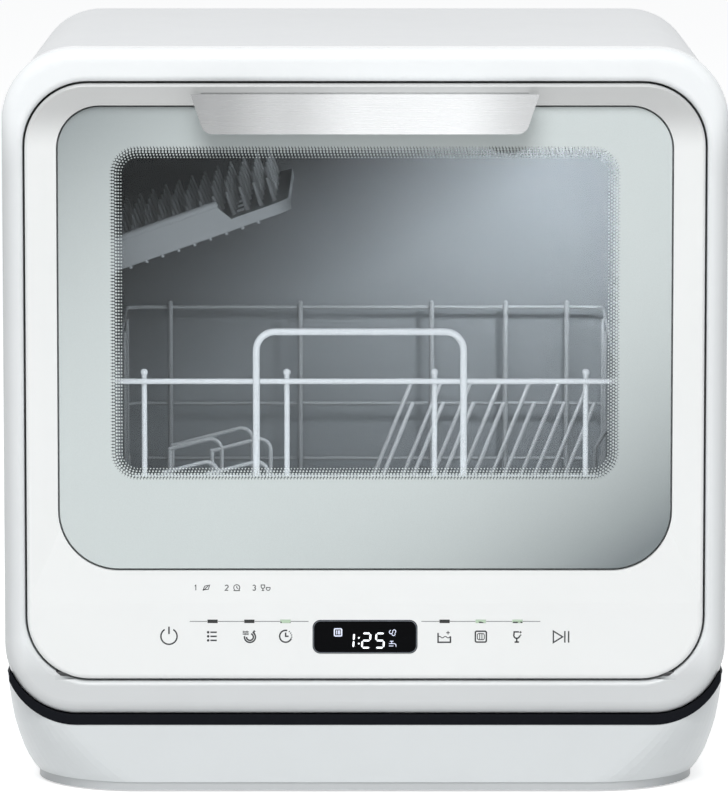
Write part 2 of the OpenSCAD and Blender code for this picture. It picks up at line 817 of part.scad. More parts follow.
module drain_pump() {
    color("DimGray")
    difference() {
        union() {
            bar_x(drain_x0, drain_x1, sump_d, drain_z, drain_r);
            bar_x(drain_x1 - e, sump_x - 38, sump_d, drain_z, 12.5);
            bar_y(drain_x, sump_d, sump_d + 34, drain_out_z, drain_out_r);
        }
        bar_x(drain_x0 - 1, drain_x1 - 3, sump_d, drain_z, drain_r - 2.5);
        bar_x(drain_x1 - 4, sump_x - 50, sump_d, drain_z, 8);
        bar_x(sump_x - 50 - e, sump_x - 30, sump_d, drain_z, 10);
        bar_y(drain_x, sump_d + 5, sump_d + 40, drain_out_z, drain_out_r - 1.8);
    }
}

module drain_motor() {
    shaft_r = 2;
    color("Silver")
    difference() {
        union() {
            bar_x(drain_x0 - 2.5, drain_x0, sump_d, drain_z, drain_r);
            bar_x(drain_x0 - 42, drain_x0 - 2.5, sump_d, drain_z, drain_r - 3);
        }
        bar_x(drain_x0 - 20, drain_x0 + 1, sump_d, drain_z, shaft_r + 0.05);
    }
}

module drain_impeller() {
    color("White") {
        bar_x(drain_x0 - 16, drain_x + 2, sump_d, drain_z, 2);
        bar_x(drain_x - 8, drain_x + 2, sump_d, drain_z, 4);
        for (i = [0:3]) translate([drain_x - 8, yd(sump_d), drain_z]) rotate([i * 90, 0, 0])
            translate([0, -0.8, 3]) cube([10, 1.6, 10]);
    }
}

module drain_path(r, grow) {
    bar_y(drain_x, sump_d + 20 - grow, drain_s + e, drain_out_z, r);
    bend_side(drain_x, drain_s, drain_out_z + drain_bend, drain_bend, r, 270, 90);
    bend_side(drain_x, drain_s + 2 * drain_bend, spigot_z - drain_bend, drain_bend, r, 90, 90);
    bar_y(drain_x, drain_s + 2 * drain_bend - e, casing_d - 13 + grow, spigot_z, r);
}

module drain_hose() {
    color("Black")
    difference() {
        drain_path(drain_out_r + hose_wall, 0);
        drain_path(drain_out_r, 1);
    }
}

module drain_spigot() {
    lip = casing_d - 2.5;
    lead = 1;
    color("DimGray")
    difference() {
        union() {
            bar_y(drain_x, casing_d - 28, lip, spigot_z, drain_out_r);
            bar_y(drain_x, lip - 6, lip, spigot_z, 15);
            bar_y(drain_x, lip - e, casing_d + collar_out, spigot_z, outlet_r + collar_wall);
            bar_y(drain_x, casing_d, casing_d + rear_out - lead, spigot_z, outlet_r);
            // tapered tip the hose is pushed over
            translate([drain_x, yd(casing_d + rear_out), spigot_z])
                rotate([90, 0, 0]) cylinder(r1 = outlet_r - lead, r2 = outlet_r, h = lead);
        }
        bar_y(drain_x, casing_d - 30, casing_d + rear_out + 1, spigot_z, drain_out_r - 2);
    }
}

module inlet_valve() {
    color("White")
    difference() {
        union() {
            block(inlet_x - 14, inlet_x + 14, valve_d - 14, casing_d - 9, inlet_z - 14, inlet_z + 16);
            bar_y(inlet_x, casing_d - 9 - e, casing_d + rear_out, inlet_z, inlet_r);
            bar_y(inlet_x, casing_d - 9, casing_d - 2.5, inlet_z, inlet_r + 3);
            bar_y(inlet_x, casing_d - 3, casing_d + collar_out, inlet_z, inlet_r + collar_wall);
            bar_z(inlet_x, valve_d, inlet_z + 15, valve_top, 6);
            bar_y(inlet_x, valve_d - 30, valve_d - 13, inlet_z, 11);
        }
        bar_y(inlet_x, valve_d, casing_d + rear_out + 1, inlet_z, inlet_r - 3);
        bar_z(inlet_x, valve_d, inlet_z, valve_top + 1, 4);
    }
}

module fill_hose() {
    color("Black")
    difference() {
        bar_z(inlet_x, valve_d, inlet_z + 18, hose_top, 6 + hose_wall);
        bar_z(inlet_x, valve_d, inlet_z + 17, hose_top + 1, 6);
    }
}

module air_break() {
    x0 = tub_w2 + tub_t + 1.5;
    x1 = in_w2 - 2;
    low = hose_top + 1;
    high = tub_z1 - 28;
    d0 = tub_back - 151;
    d1 = casing_d - 20;
    wall = 2;
    color("Azure")
    difference() {
        union() {
            block(x0, x1, d0, d1, low, high);
            bar_z(inlet_x, valve_d, valve_top + 2, low + e, 6);
            bar_x(tub_w2, x0 + e, vent_d, vent_z, 8);
            for (i = [1:5])
                block(x1 - e, x1 + 1.2, d0 + i * (d1 - d0) / 6, d0 + i * (d1 - d0) / 6 + 3,
                    low + 20, high - 20);
        }
        block(x0 + wall, x1 - wall, d0 + wall, d1 - wall, low + wall, high - wall);
        bar_z(inlet_x, valve_d, valve_top + 1, low + 4, 4);
        bar_x(tub_w2 - 1, x0 + 3, vent_d, vent_z, 6);
    }
}

module cable_gland() {
    lip = casing_d - 2.5;
    color("Black")
    difference() {
        union() {
            bar_y(gland_x, lip - 8, lip, gland_z, 10);
            bar_y(gland_x, lip - e, casing_d + 1, gland_z, 7);
            bar_y(gland_x, casing_d, casing_d + 4, gland_z, 9);
        }
        bar_y(gland_x, lip - 9, casing_d + 5, gland_z, gland_r);
    }
}

module fan_housing() {
    d0 = tub_back + tub_t + 1;
    color("Black")
    difference() {
        union() {
            block(fan_x - fan_s, fan_x + fan_s, d0 + 6, d0 + 26, fan_z - fan_s, fan_z + fan_s - 2);
            bar_y(fan_x, tub_back, d0 + 7, fan_z, fan_r);
            bar_y(fan_x, d0 + 25, casing_d - 2.6, fan_z, fan_r + 2);
        }
        bar_y(fan_x, tub_back - 1, d0 + 10, fan_z, fan_r - 2);
        bar_y(fan_x, d0 + 9, casing_d, fan_z, fan_r);
    }
    // spider that carries the rotor
    color("Black")
    difference() {
        union() {
            bar_y(fan_x, d0 + 10, d0 + 13, fan_z, 8);
            block(fan_x - fan_r - 1, fan_x + fan_r + 1, d0 + 10, d0 + 13, fan_z - 1.5, fan_z + 1.5);
            block(fan_x - 1.5, fan_x + 1.5, d0 + 10, d0 + 13, fan_z - fan_r - 1, fan_z + fan_r + 1);
        }
        bar_y(fan_x, d0 + 9, d0 + 14, fan_z, 1.55);
    }
}

module fan_rotor() {
    d0 = tub_back + tub_t + 15;
    color("DimGray") {
        bar_y(fan_x, d0, d0 + 12, fan_z, 8);
        bar_y(fan_x, d0 - 5, d0 + 1, fan_z, 1.5);
        intersection() {
            for (i = [0:6]) translate([fan_x, yd(d0 + 6), fan_z]) rotate([0, i * 360 / 7, 0])
                rotate([35, 0, 0]) translate([6, -0.7, -8]) cube([16, 1.4, 16]);
            bar_y(fan_x, d0 + 1, d0 + 11, fan_z, fan_r - 1.5);
        }
    }
}

module runners() {
    flange_t = 2;
    color("Silver")
    for (s = [-1, 1]) mirror([s < 0 ? 1 : 0, 0, 0]) difference() {
        block(tub_w2 - runner_w, tub_w2, 50, tub_back - 5, runner_z, runner_z + runner_h);
        block(tub_w2 - runner_w - 1, tub_w2 - flange_t, 40, tub_back - 8,
            runner_z + flange_t, runner_z + runner_h - flange_t);
    }
}

module rack_glides() {
    x0 = rack_w2 - 2.4;
    x1 = tub_w2 - 2 - 0.8;
    color("White")
    for (s = [-1, 1], d = glide_d) mirror([s < 0 ? 1 : 0, 0, 0]) difference() {
        union() {
            block(tub_w2 - runner_w - 2, x1, d, d + glide_len,
                runner_z + 2.4, runner_z + runner_h - 2.4);
            block(x0, tub_w2 - runner_w - 1, d + 8, d + glide_len - 8,
                rack_z0 - wire_r - 1, runner_z + runner_h - 2.4);
        }
        // groove clipped over the rim wire
        bar_y(rack_w2, d, d + glide_len, rack_z0, wire_r);
        block(x0 - 1, rack_w2, d, d + glide_len, rack_z0 + 0.4, rack_z0 + 4);
    }
}

module shelf_bracket() {
    color("Silver") {
        for (d = [shelf_d0 + 20, tub_mid, shelf_d1 - 28])
            difference() {
                block(-tub_w2, shelf_x + 3, d, d + 8, shelf_z - 9, shelf_z + 4);
                bar_y(shelf_x, d - 1, d + 9, shelf_z, 2);
            }
        bar_y(shelf_x, shelf_d0 + 6, shelf_d1 - 6, shelf_z, 2);
        // ledge the shelf rests on
        block(-tub_w2, -tub_w2 + 2, shelf_d0 + 6, shelf_d1 - 6, shelf_z - 16, shelf_z - 8.9);
    }
}

// the shelf lies flat here, with its hinge at the origin, before it is tilted
module shelf_flat() {
    lip_h = 6.6;
    rail_h = 13.3;
    plate_w = shelf_d1 - shelf_d0;
    rail_end = 93;
    knuckle_r = 4.2;
    lugs = [20, tub_mid - shelf_d0, plate_w - 28];
    difference() {
        union() {
            // plate with a rounded free end
            translate([6, 0, 0]) cube([shelf_len - 18, plate_w, shelf_t]);
            translate([shelf_len - 13, 12, 0]) cube([12, plate_w - 24, shelf_t]);
            for (y = [12, plate_w - 12]) translate([shelf_len - 13, y, 0])
                cylinder(r = 12, h = shelf_t);
            // lips along the edges
            translate([6, 0, -lip_h + shelf_t]) cube([shelf_len - 18, 2.2, lip_h]);
            translate([6, plate_w - 2.2, -lip_h + shelf_t]) cube([shelf_len - 18, 2.2, lip_h]);
            translate([shelf_len - 3, 14, -lip_h / 2 + shelf_t]) cube([2.2, plate_w - 28, lip_h / 2]);
            for (y = [12, plate_w - 12]) translate([shelf_len - 13, y, -lip_h + shelf_t])
                difference() {
                    cylinder(r = 12, h = lip_h);
                    translate([0, 0, -1]) cylinder(r = 9.8, h = lip_h + 2);
                    translate([-13, -13, -1]) cube([13, 26, lip_h + 2]);
                    translate([-1, y < 50 ? 0 : -13, -1]) cube([16, 13, lip_h + 2]);
                }
            // raised front rail with a slanted end and a rolled top
            rotate([90, 0, 0]) translate([0, 0, -2.2]) linear_extrude(2.2)
                polygon([[12, 0], [rail_end + 8, 0], [rail_end, rail_h], [12, rail_h]]);
            translate([12, 1.1, rail_h]) rotate([0, 90, 0]) cylinder(r = 2.2, h = rail_end - 12);
            for (x = [12, rail_end]) translate([x, 1.1, rail_h]) sphere(2.2);
            // hinge tube
            translate([0, 0, 0]) rotate([-90, 0, 0]) translate([0, 0, 8])
                cylinder(r = knuckle_r, h = plate_w - 16);
            translate([0, 8, -1.2]) cube([8, plate_w - 16, shelf_t]);
        }
        rotate([-90, 0, 0]) translate([0, 0, -1]) cylinder(r = 2.06, h = plate_w + 2);
        for (y = lugs) translate([-6, y - 0.4, -7]) cube([12, 8.8, 14]);
        // drain slots
        for (x = [22:16:shelf_len - 24], y = [30:32:plate_w - 34])
            translate([x, y, -1]) cube([5, 18, shelf_t + 2]);
    }
    // short tines in rows
    for (x = [16:shelf_pitch:shelf_len - 8], y = [22:34:plate_w - 24])
        translate([x, y, shelf_t - e])
            cylinder(r1 = 1.5, r2 = 0.9, h = (y == 22 ? 0.8 : 1) * shelf_tine_h);
    // small drip nubs under the front lip
    for (x = [24:10:shelf_len - 22]) translate([x, 1.1, -lip_h + shelf_t - 1.6])
        cylinder(r1 = 0.8, r2 = 1.1, h = 1.7);
}

module cup_shelf() {
    color("Gainsboro")
    translate([shelf_x, yd(shelf_d0), shelf_z]) rotate([0, -shelf_tilt, 0]) shelf_flat();
}

module door_catch() {
    d0 = tub_front + tub_t;
    color("DimGray")
    difference() {
        block(-24, 24, d0, d0 + 20, tub_z1 + tub_t + 0.5, latch_z + 16);
        block(-16, 16, d0 - 1, d0 + 17, latch_z - 1.2, latch_z + 11);
    }
}

module hinge_pins() {
    color("Silver")
    for (s = [-1, 1]) mirror([s < 0 ? 1 : 0, 0, 0])
        bar_x(pin_x0 + 0.5, pin_x1, hinge_d, hinge_z, pin_r);
}

// everything in front of the sloping faces around the glass
module dish() {
    deep = 30;
    core = door_r - 1;
    intersection() {
        union() {
            around(door_w2, door_z0, door_z1, door_r, door_r)
                polygon([[0, 0], [0, -4], [-core, -4], [-core, core * dish_slope]]);
            slab(door_w2 - core + e, door_z0 + core - e, door_z1 - core + e, 1, 1,
                -4, core * dish_slope);
        }
        translate([-half_w, yd(0), panel_z]) rotate([-atan(panel_slope), 0, 0])
            translate([0, -deep, 0]) cube([overall_w, deep, overall_h]);
    }
}

handle_z1 = door_z1 - 5.5;
handle_tab_x = 60;

module door_shell() {
    slot_w2 = handle_top_w / 2 - 6;
    color("White")
    difference() {
        slab(door_w2, door_z0, door_z1, door_r, door_r, 0, door_t);
        around(door_w2, door_z0, door_z1, door_r, door_r) round_off(door_edge_r, 0);
        dish();
        slab(glass_w2 + glass_fit, glass_z0 - glass_fit, glass_z1 + glass_fit,
            glass_r_top + glass_fit, glass_r_bottom + glass_fit, -5, seat_d);
        slab(window_w2, window_z0, window_z1, window_r, window_r, seat_d - 1, door_t + 1);
        slab(door_w2 - shell_wall, door_z0 + shell_wall, door_z1 - shell_wall,
            door_r - shell_wall, door_r - shell_wall, seat_d + 2.2, door_t + 1);
        // room for the electronics below the glass
        slab(control_w2, door_z0 + 6, glass_z0 - 5, 3, 8, shell_front, seat_d + 3);
        // display and indicators
        slab(lens_w2 + 0.15, door_z0 + lens_up - lens_h / 2 - 0.15,
            door_z0 + lens_up + lens_h / 2 + 0.15, 4.6, 4.6, -1, shell_front + 1);
        for (x = led_x) block(x - led_w / 2 - 0.1, x + led_w / 2 + 0.1, -1, shell_front + 1,
            led_z - led_h / 2 - 0.1, led_z + led_h / 2 + 0.1);
        // seat of the handle
        block(-slot_w2 - 0.15, slot_w2 + 0.15, -1, 3.4, handle_z1 - 3.15, handle_z1 + 0.15);
        for (s = [-1, 1]) {
            block(s * handle_tab_x - 8.15, s * handle_tab_x + 8.15, -1, 3.4,
                handle_z1 - 6.15, handle_z1);
            bar_y(s * handle_tab_x, 0, 12, handle_z1 - 3, 1.7);
        }
        for (s = [-1, 1]) mirror([s < 0 ? 1 : 0, 0, 0])
            bar_x(pin_x0, pin_x1, hinge_d, hinge_z, pin_r + pin_play);
    }
    // posts the circuit board is screwed to
    color("White")
    for (x = [-140, 140], z = board_z) bar_y(x, shell_front - e, board_d, z, 3);
}

board_z = [door_z0 + 13, door_z0 + 52];

module door_glass() {
    edge = 0.5;
    color("LightCyan")
    difference() {
        slab(glass_w2, glass_z0, glass_z1, glass_r_top, glass_r_bottom, glass_recess, seat_d);
        around(glass_w2, glass_z0, glass_z1, glass_r_top, glass_r_bottom)
            polygon([[-edge, glass_recess - 0.1], [0.1, glass_recess - 0.1],
                [0.1, glass_recess + edge]]);
    }
}

module door_liner() {
    w = door_w2 - liner_in;
    rw = tub_w2 - raise_in;
    rz0 = tub_z0 + raise_in;
    rz1 = tub_z1 - raise_in;
    rr = tub_r - raise_in;
    color("LightSteelBlue")
    difference() {
        union() {
            slab(w, door_z0 + liner_in, door_z1 - liner_in, door_r - liner_in, door_r - liner_in,
                door_t, liner_d);
            slab(rw, rz0, rz1, rr, rr, liner_d - e, raise_d);
        }
        slab(rw - liner_t, rz0 + liner_t, rz1 - liner_t, rr - liner_t, rr - liner_t,
            door_t - 1, raise_d - liner_t);
        around(rw, rz0, rz1, rr, rr) round_back(3, raise_d);
        slab(window_w2, window_z0, window_z1, window_r, window_r, raise_d - 4, raise_d + 1);
        block(box_x0 + 2, box_x1 - 2, raise_d - 4, raise_d + 1, box_z0 + 2, box_z1 - 2);
    }
}

module inner_glass() {
    d1 = raise_d - liner_t;
    color("LightCyan")
    slab(window_w2 + 8, window_z0 - 8, window_z1 + 6, window_r + 4, window_r + 4, d1 - 4, d1);
}

module door_handle() {
    top_w2 = handle_top_w / 2;
    low_w2 = handle_low_w / 2;
    z0 = handle_z1 - handle_h;
    c = [low_w2, z0 + handle_r];
    reach = norm([top_w2 - c[0], handle_z1 - c[1]]);
    side = atan2(handle_z1 - c[1], top_w2 - c[0]) - acos(handle_r / reach);
    t = [c[0] + handle_r * cos(side), c[1] + handle_r * sin(side)];
    slot_w2 = top_w2 - 6;
    color("Silver")
    difference() {
        union() {
            translate([0, yd(-handle_out + handle_t), 0]) rotate([90, 0, 0])
                linear_extrude(handle_t) {
                    polygon([[-top_w2, handle_z1], [top_w2, handle_z1], t, c, [c[0], z0],
                        [-c[0], z0], [-c[0], c[1]], [-t[0], t[1]]]);
                    for (s = [-1, 1]) translate([s * c[0], c[1]]) circle(handle_r);
                }
            block(-slot_w2, slot_w2, -handle_out + handle_t - e, 3.2, handle_z1 - 3, handle_z1);
            for (s = [-1, 1])
                block(s * handle_tab_x - 8, s * handle_tab_x + 8, -handle_out + handle_t - e, 3.2,
                    handle_z1 - 6, handle_z1 - 1);
        }
        for (s = [-1, 1]) bar_y(s * handle_tab_x, -4, 4, handle_z1 - 3, 1.5);
    }
}

module handle_screws() {
    seat = seat_d + 2.2;
    color("Silver")
    for (s = [-1, 1]) {
        bar_y(s * handle_tab_x, -3.5, seat + e, handle_z1 - 3, 1.5);
        difference() {
            bar_y(s * handle_tab_x, seat, seat + 2, handle_z1 - 3, 2.8);
            block(s * handle_tab_x - 2, s * handle_tab_x + 2, seat + 1, seat + 3,
                handle_z1 - 3.4, handle_z1 - 2.6);
        }
    }
}

module latch_hook() {
    reach = tub_front + 13;
    color("Silver") {
        block(-10, 10, liner_d, reach, latch_z, latch_z + latch_h);
        translate([-10, 0, 0]) rotate([90, 0, 90]) linear_extrude(20)
            polygon([[yd(reach - 8), latch_z + latch_h - e], [yd(reach), latch_z + latch_h - e],
                [yd(reach - 3), latch_z + latch_h + 2.6], [yd(reach - 5), latch_z + latch_h + 2.6]]);
    }
}

box_x0 = -96;
box_x1 = -24;
box_z0 = 116;
box_z1 = 166;
lid_travel = 34;

module dispenser() {
    color("White")
    difference() {
        union() {
            block(box_x0, box_x1, raise_d, raise_d + 1.5, box_z0, box_z1);
            block(box_x0 + 2.2, box_x1 - 2.2, door_t - 2, raise_d + e, box_z0 + 2.2, box_z1 - 2.2);
            // rails of the lid
            for (z = [box_z0 + 1, box_z1 - 3.2])
                block(box_x0, box_x1, raise_d + 1.5 - e, raise_d + 4.4, z, z + 2.2);
        }
        // powder cup
        block(box_x0 + 5, box_x0 + 34, door_t, raise_d + 2, box_z0 + 7, box_z1 - 7);
        // rinse aid cap seat
        bar_y(box_x1 - 18, door_t + 4, raise_d + 0.2, box_z0 + 25, 9);
    }
}

module dispenser_lid() {
    d0 = raise_d + 1.8;
    color("Gainsboro")
    difference() {
        union() {
            block(box_x0 + 2, box_x0 + 36.5, d0, d0 + 2.2, box_z0 + 3.6, box_z1 - 3.6);
            block(box_x0 + 5, box_x0 + 7, d0 + 2, d0 + 4, box_z0 + 12, box_z1 - 12);
        }
        for (i = [0:4]) block(box_x0 + 12 + 4 * i, box_x0 + 13 + 4 * i, d0 + 1.8, d0 + 3,
            box_z0 + 14, box_z1 - 14);
    }
}

led_x = [-88.7, -67.3, -46.3, 46.3, 67.3, 88.7];
led_z = door_z0 + 34.1;
board_d = 13;

module control_board() {
    color("DarkGreen")
    difference() {
        block(-146, 146, board_d, board_d + 1.6, door_z0 + 9, door_z0 + 56);
        for (x = [-140, 140], z = board_z) bar_y(x, board_d - 1, board_d + 3, z, 1.6);
    }
    color("DarkGreen") {
        for (i = [0:5]) block(-120 + i * 22, -108 + i * 22, board_d + 1.6 - e, board_d + 4,
            door_z0 + 40, door_z0 + 48);
        block(40, 60, board_d + 1.6 - e, board_d + 6, door_z0 + 38, door_z0 + 50);
    }
}

module display_module() {
    color("Black")
    difference() {
        block(-lens_w2 + 1, lens_w2 - 1, shell_front + 0.4, board_d,
            door_z0 + lens_up - lens_h / 2 + 1, door_z0 + lens_up + lens_h / 2 - 1);
        for (x = [-12, -2, 8]) block(x, x + 8, shell_front, shell_front + 2,
            door_z0 + lens_up - 6, door_z0 + lens_up + 6);
    }
}

module display_lens() {
    bevel = 0.4;
    z0 = door_z0 + lens_up - lens_h / 2;
    color("Black")
    difference() {
        slab(lens_w2, z0, z0 + lens_h, 4.5, 4.5, 0, shell_front);
        around(lens_w2, z0, z0 + lens_h, 4.5, 4.5)
            polygon([[-bevel, -0.1], [0.1, -0.1], [0.1, bevel]]);
    }
}

module led_bars() {
    color("DimGray")
    for (x = led_x) block(x - led_w / 2, x + led_w / 2, 0, board_d,
        led_z - led_h / 2, led_z + led_h / 2);
}

module rack_floor() {
    r = rack_corner;
    w = rack_w2;
    d0 = rack_front_d;
    d1 = rack_rear_d;
    color("White") {
        // rim
        for (d = [d0, d1]) bar_x(r - w, w - r, d, rack_z0, wire_r);
        for (s = [-1, 1]) bar_y(s * w, d0 + r, d1 - r, rack_z0, wire_r);
        bend_plan(w - r, d0 + r, rack_z0, r, wire_r, 270, 90);
        bend_plan(w - r, d1 - r, rack_z0, r, wire_r, 0, 90);
        bend_plan(r - w, d1 - r, rack_z0, r, wire_r, 90, 90);
        bend_plan(r - w, d0 + r, rack_z0, r, wire_r, 180, 90);
        // grid
        for (i = [-6:6]) bar_y(i * 20.5, d0, d1, rack_z0, thin_r);
        for (i = [1:9]) bar_x(-w, w, d0 + i * (d1 - d0) / 10, rack_z0 + 1.9, thin_r);
    }
}

module rack_front() {
    r = rack_corner;
    color("White") {
        bar_x(r - rack_w2, rack_w2 - r, rack_front_d, rail_z, wire_r);
        bend_plan(rack_w2 - r, rack_front_d + r, rail_z, r, wire_r, 270, 90);
        bend_plan(r - rack_w2, rack_front_d + r, rail_z, r, wire_r, 180, 90);
        bar_x(r - rack_w2 + 4, rack_w2 - r - 4, rack_front_d + 2, rack_z0 + 40, thin_r);
        for (x = upright_x) {
            bar_z(x, rack_front_d + 2.6, rack_z0, rail_z + 5, wire_r);
            translate([x, yd(rack_front_d + 2.6), rail_z + 5]) sphere(wire_r + 0.6);
        }
    }
}

module rack_rear() {
    r = rack_corner;
    color("White") {
        for (z = [rear_z, 189, 154]) bar_x(r - rack_w2, rack_w2 - r, rack_rear_d, z, thin_r);
        for (x = rear_x) {
            bar_z(x, rack_rear_d - 2.4, rack_z0, rear_z + 3, wire_r);
            translate([x, yd(rack_rear_d - 2.4), rear_z + 3]) sphere(wire_r);
        }
        for (s = [-1, 1]) {
            mirror([s < 0 ? 1 : 0, 0, 0]) {
                bend_plan(rack_w2 - r, rack_rear_d - r, rear_z, r, thin_r, 0, 90);
                bend_plan(rack_w2 - r, rack_rear_d - r, 189, r, thin_r, 0, 90);
            }
        }
    }
}

// side wall of the rack, drawn on the right
module rack_side() {
    d0 = rack_front_d + rack_corner;
    d1 = rack_rear_d - rack_corner;
    rod([rack_w2, d0, rail_z], [rack_w2, d1, rear_z], thin_r);
    bar_y(rack_w2, d0 + 10, d1, 189, thin_r);
    for (d = side_d)
        bar_z(rack_w2 - 1.9, d, rack_z0, rail_z + (rear_z - rail_z) * (d - d0) / (d1 - d0), thin_r);
}

// leaning prop between the rack floor and the side wall
module side_prop(d) {
    knee = [rack_w2 - 8.5, 174];
    rod([knee[0], d, rack_z0], [knee[0], d, knee[1]], thin_r);
    rod([knee[0], d, knee[1]], [rack_w2, d, 189], thin_r);
    translate([knee[0], yd(d), knee[1]]) sphere(thin_r);
}

module rack_right() {
    color("White") {
        rack_side();
        for (i = [2, 6]) side_prop(rack_front_d + i * rack_len / 10);
    }
}

module rack_left() {
    color("White") mirror([1, 0, 0]) rack_side();
}

module rack_handle() {
    bend = 11;
    r = 2;
    top = rail_z + loop_up;
    d = rack_front_d - 1.7;
    color("White") {
        for (x = [loop_x0, loop_x1]) bar_z(x, d, rack_z0, top - bend, r);
        for (x = [loop_x0, loop_x1]) translate([x, yd(d), rack_z0]) sphere(r);
        bar_x(loop_x0 + bend, loop_x1 - bend, d, top, r);
        bend_front(loop_x0 + bend, d, top - bend, bend, r, 90, 90);
        bend_front(loop_x1 - bend, d, top - bend, bend, r, 0, 90);
    }
}

// a row of leaning tines on a base wire
module tine_row(d) {
    foot_z = rack_z0 + 2 * thin_r - 0.3;
    run = (tine_top_z - foot_z) * tan(tine_lean);
    for (i = [0:tine_count - 1]) {
        x = tine_x0 + i * tine_pitch;
        rod([x - run, d, foot_z], [x, d, tine_top_z], 1.25);
        translate([x, yd(d), tine_top_z]) sphere(1.25);
    }
    bar_x(tine_x0 - run - 6, tine_x0 - run + (tine_count - 1) * tine_pitch + 6, d, foot_z, thin_r);
}

module tines_front() {
    color("White") tine_row(tine_d[0]);
}

module tines_rear() {
    color("White") tine_row(tine_d[1]);
}

// one loop standing across the rack: low at its left end, bent down at its right end
module cup_loop(d, x0, x1) {
    slope = 14.5;
    bend = 7;
    top = 180;
    r = 1.25;
    cx = x1 - bend;
    cz = top - bend;
    sx = cx - bend * sin(slope);
    sz = cz + bend * cos(slope);
    low = sz - (sx - x0) * tan(slope);
    bar_z(x1, d, rack_z0, cz, r);
    bend_front(cx, d, cz, bend, r, 0, 90 + slope);
    rod([x0, d, low], [sx + 0.5 * cos(slope), d, sz + 0.5 * sin(slope)], thin_r);
    bar_z(x0, d, rack_z0, low, r);
    translate([x0, yd(d), low]) sphere(1.4);
}

module cup_loops() {
    color("White")
    for (row = loop_rows)
        cup_loop(rack_front_d + row[0] * rack_len / 10, row[1], row[2]);
}

front_frame();
casing();
back_panel();
base();
base_band();
plinth();
feet();
tub();
tub_seal();
sump();
filter_plate();
filter_cartridge();
arm_feed();
spray_arm();
heater();
wash_pump();
wash_motor();
wash_impeller();
spray_hose();
drain_pump();
drain_motor();
drain_impeller();
drain_hose();
drain_spigot();
inlet_valve();
fill_hose();
air_break();
cable_gland();
fan_housing();
fan_rotor();
runners();
shelf_bracket();
cup_shelf();
door_catch();
hinge_pins();
panel_screws();
door_shell();
door_glass();
door_liner();
inner_glass();
door_handle();
handle_screws();
latch_hook();
dispenser();
dispenser_lid();
control_board();
display_module();
display_lens();
led_bars();
rack_floor();
rack_front();
rack_rear();
rack_left();
rack_right();
rack_handle();
tines_front();
tines_rear();
cup_loops();
rack_glides();
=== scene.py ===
import math

import bmesh
import bpy
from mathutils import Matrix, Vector


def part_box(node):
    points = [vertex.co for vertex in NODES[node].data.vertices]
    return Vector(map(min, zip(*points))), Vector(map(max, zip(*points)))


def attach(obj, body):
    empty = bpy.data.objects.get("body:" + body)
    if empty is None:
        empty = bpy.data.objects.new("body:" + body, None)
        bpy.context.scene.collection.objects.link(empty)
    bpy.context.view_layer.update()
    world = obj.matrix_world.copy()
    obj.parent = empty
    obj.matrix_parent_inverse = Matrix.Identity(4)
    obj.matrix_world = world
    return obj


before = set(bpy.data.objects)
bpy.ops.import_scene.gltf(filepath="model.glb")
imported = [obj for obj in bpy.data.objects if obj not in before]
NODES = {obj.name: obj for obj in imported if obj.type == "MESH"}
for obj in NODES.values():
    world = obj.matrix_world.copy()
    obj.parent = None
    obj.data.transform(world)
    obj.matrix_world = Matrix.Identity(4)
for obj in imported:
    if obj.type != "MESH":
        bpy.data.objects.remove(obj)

MM = 0.001
FRONT = -0.2075          # y of the front plane
scene = bpy.context.scene
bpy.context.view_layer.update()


# ---------------------------------------------------------------- node helpers
def link(nt, a, b):
    nt.links.new(a, b)


def math_node(nt, op, a, b=None, c=None, clamp=False):
    n = nt.nodes.new("ShaderNodeMath")
    n.operation = op
    n.use_clamp = clamp
    for i, v in enumerate((a, b, c)):
        if v is None:
            continue
        if isinstance(v, (int, float)):
            n.inputs[i].default_value = v
        else:
            link(nt, v, n.inputs[i])
    return n.outputs[0]


def mix_shaders(nt, factor, first, second):
    mix = nt.nodes.new("ShaderNodeMixShader")
    link(nt, factor, mix.inputs["Fac"])
    link(nt, first, mix.inputs[1])
    link(nt, second, mix.inputs[2])
    return mix.outputs[0]


def object_coords(nt, stretch=(1, 1, 1)):
    coords = nt.nodes.new("ShaderNodeTexCoord")
    mapping = nt.nodes.new("ShaderNodeMapping")
    mapping.inputs["Scale"].default_value = stretch
    link(nt, coords.outputs["Object"], mapping.inputs["Vector"])
    return mapping.outputs["Vector"]


def object_xyz(nt):
    """X, Y and Z of a point on the piece, in metres; on a CAD node they are the frame's own."""
    split = nt.nodes.new("ShaderNodeSeparateXYZ")
    link(nt, object_coords(nt), split.inputs[0])
    return split.outputs


def noise(nt, vector, scale, detail=3.0, rough=0.5):
    n = nt.nodes.new("ShaderNodeTexNoise")
    n.inputs["Scale"].default_value = scale
    n.inputs["Detail"].default_value = detail
    n.inputs["Roughness"].default_value = rough
    link(nt, vector, n.inputs["Vector"])
    return n.outputs["Fac"]


def spread(nt, value, low, high, src_low=0.3, src_high=0.7):
    """A value from src_low to src_high, stretched from low to high."""
    r = nt.nodes.new("ShaderNodeMapRange")
    r.inputs["From Min"].default_value = src_low
    r.inputs["From Max"].default_value = src_high
    r.inputs["To Min"].default_value = low
    r.inputs["To Max"].default_value = high
    link(nt, value, r.inputs["Value"])
    return r.outputs["Result"]


def two_tone(nt, factor, dark, light, low=0.3, high=0.7):
    ramp = nt.nodes.new("ShaderNodeValToRGB")
    for knot, pos, colour in zip(ramp.color_ramp.elements, (low, high), (dark, light)):
        knot.position = pos
        knot.color = (*colour, 1)
    link(nt, factor, ramp.inputs["Fac"])
    return ramp.outputs["Color"]


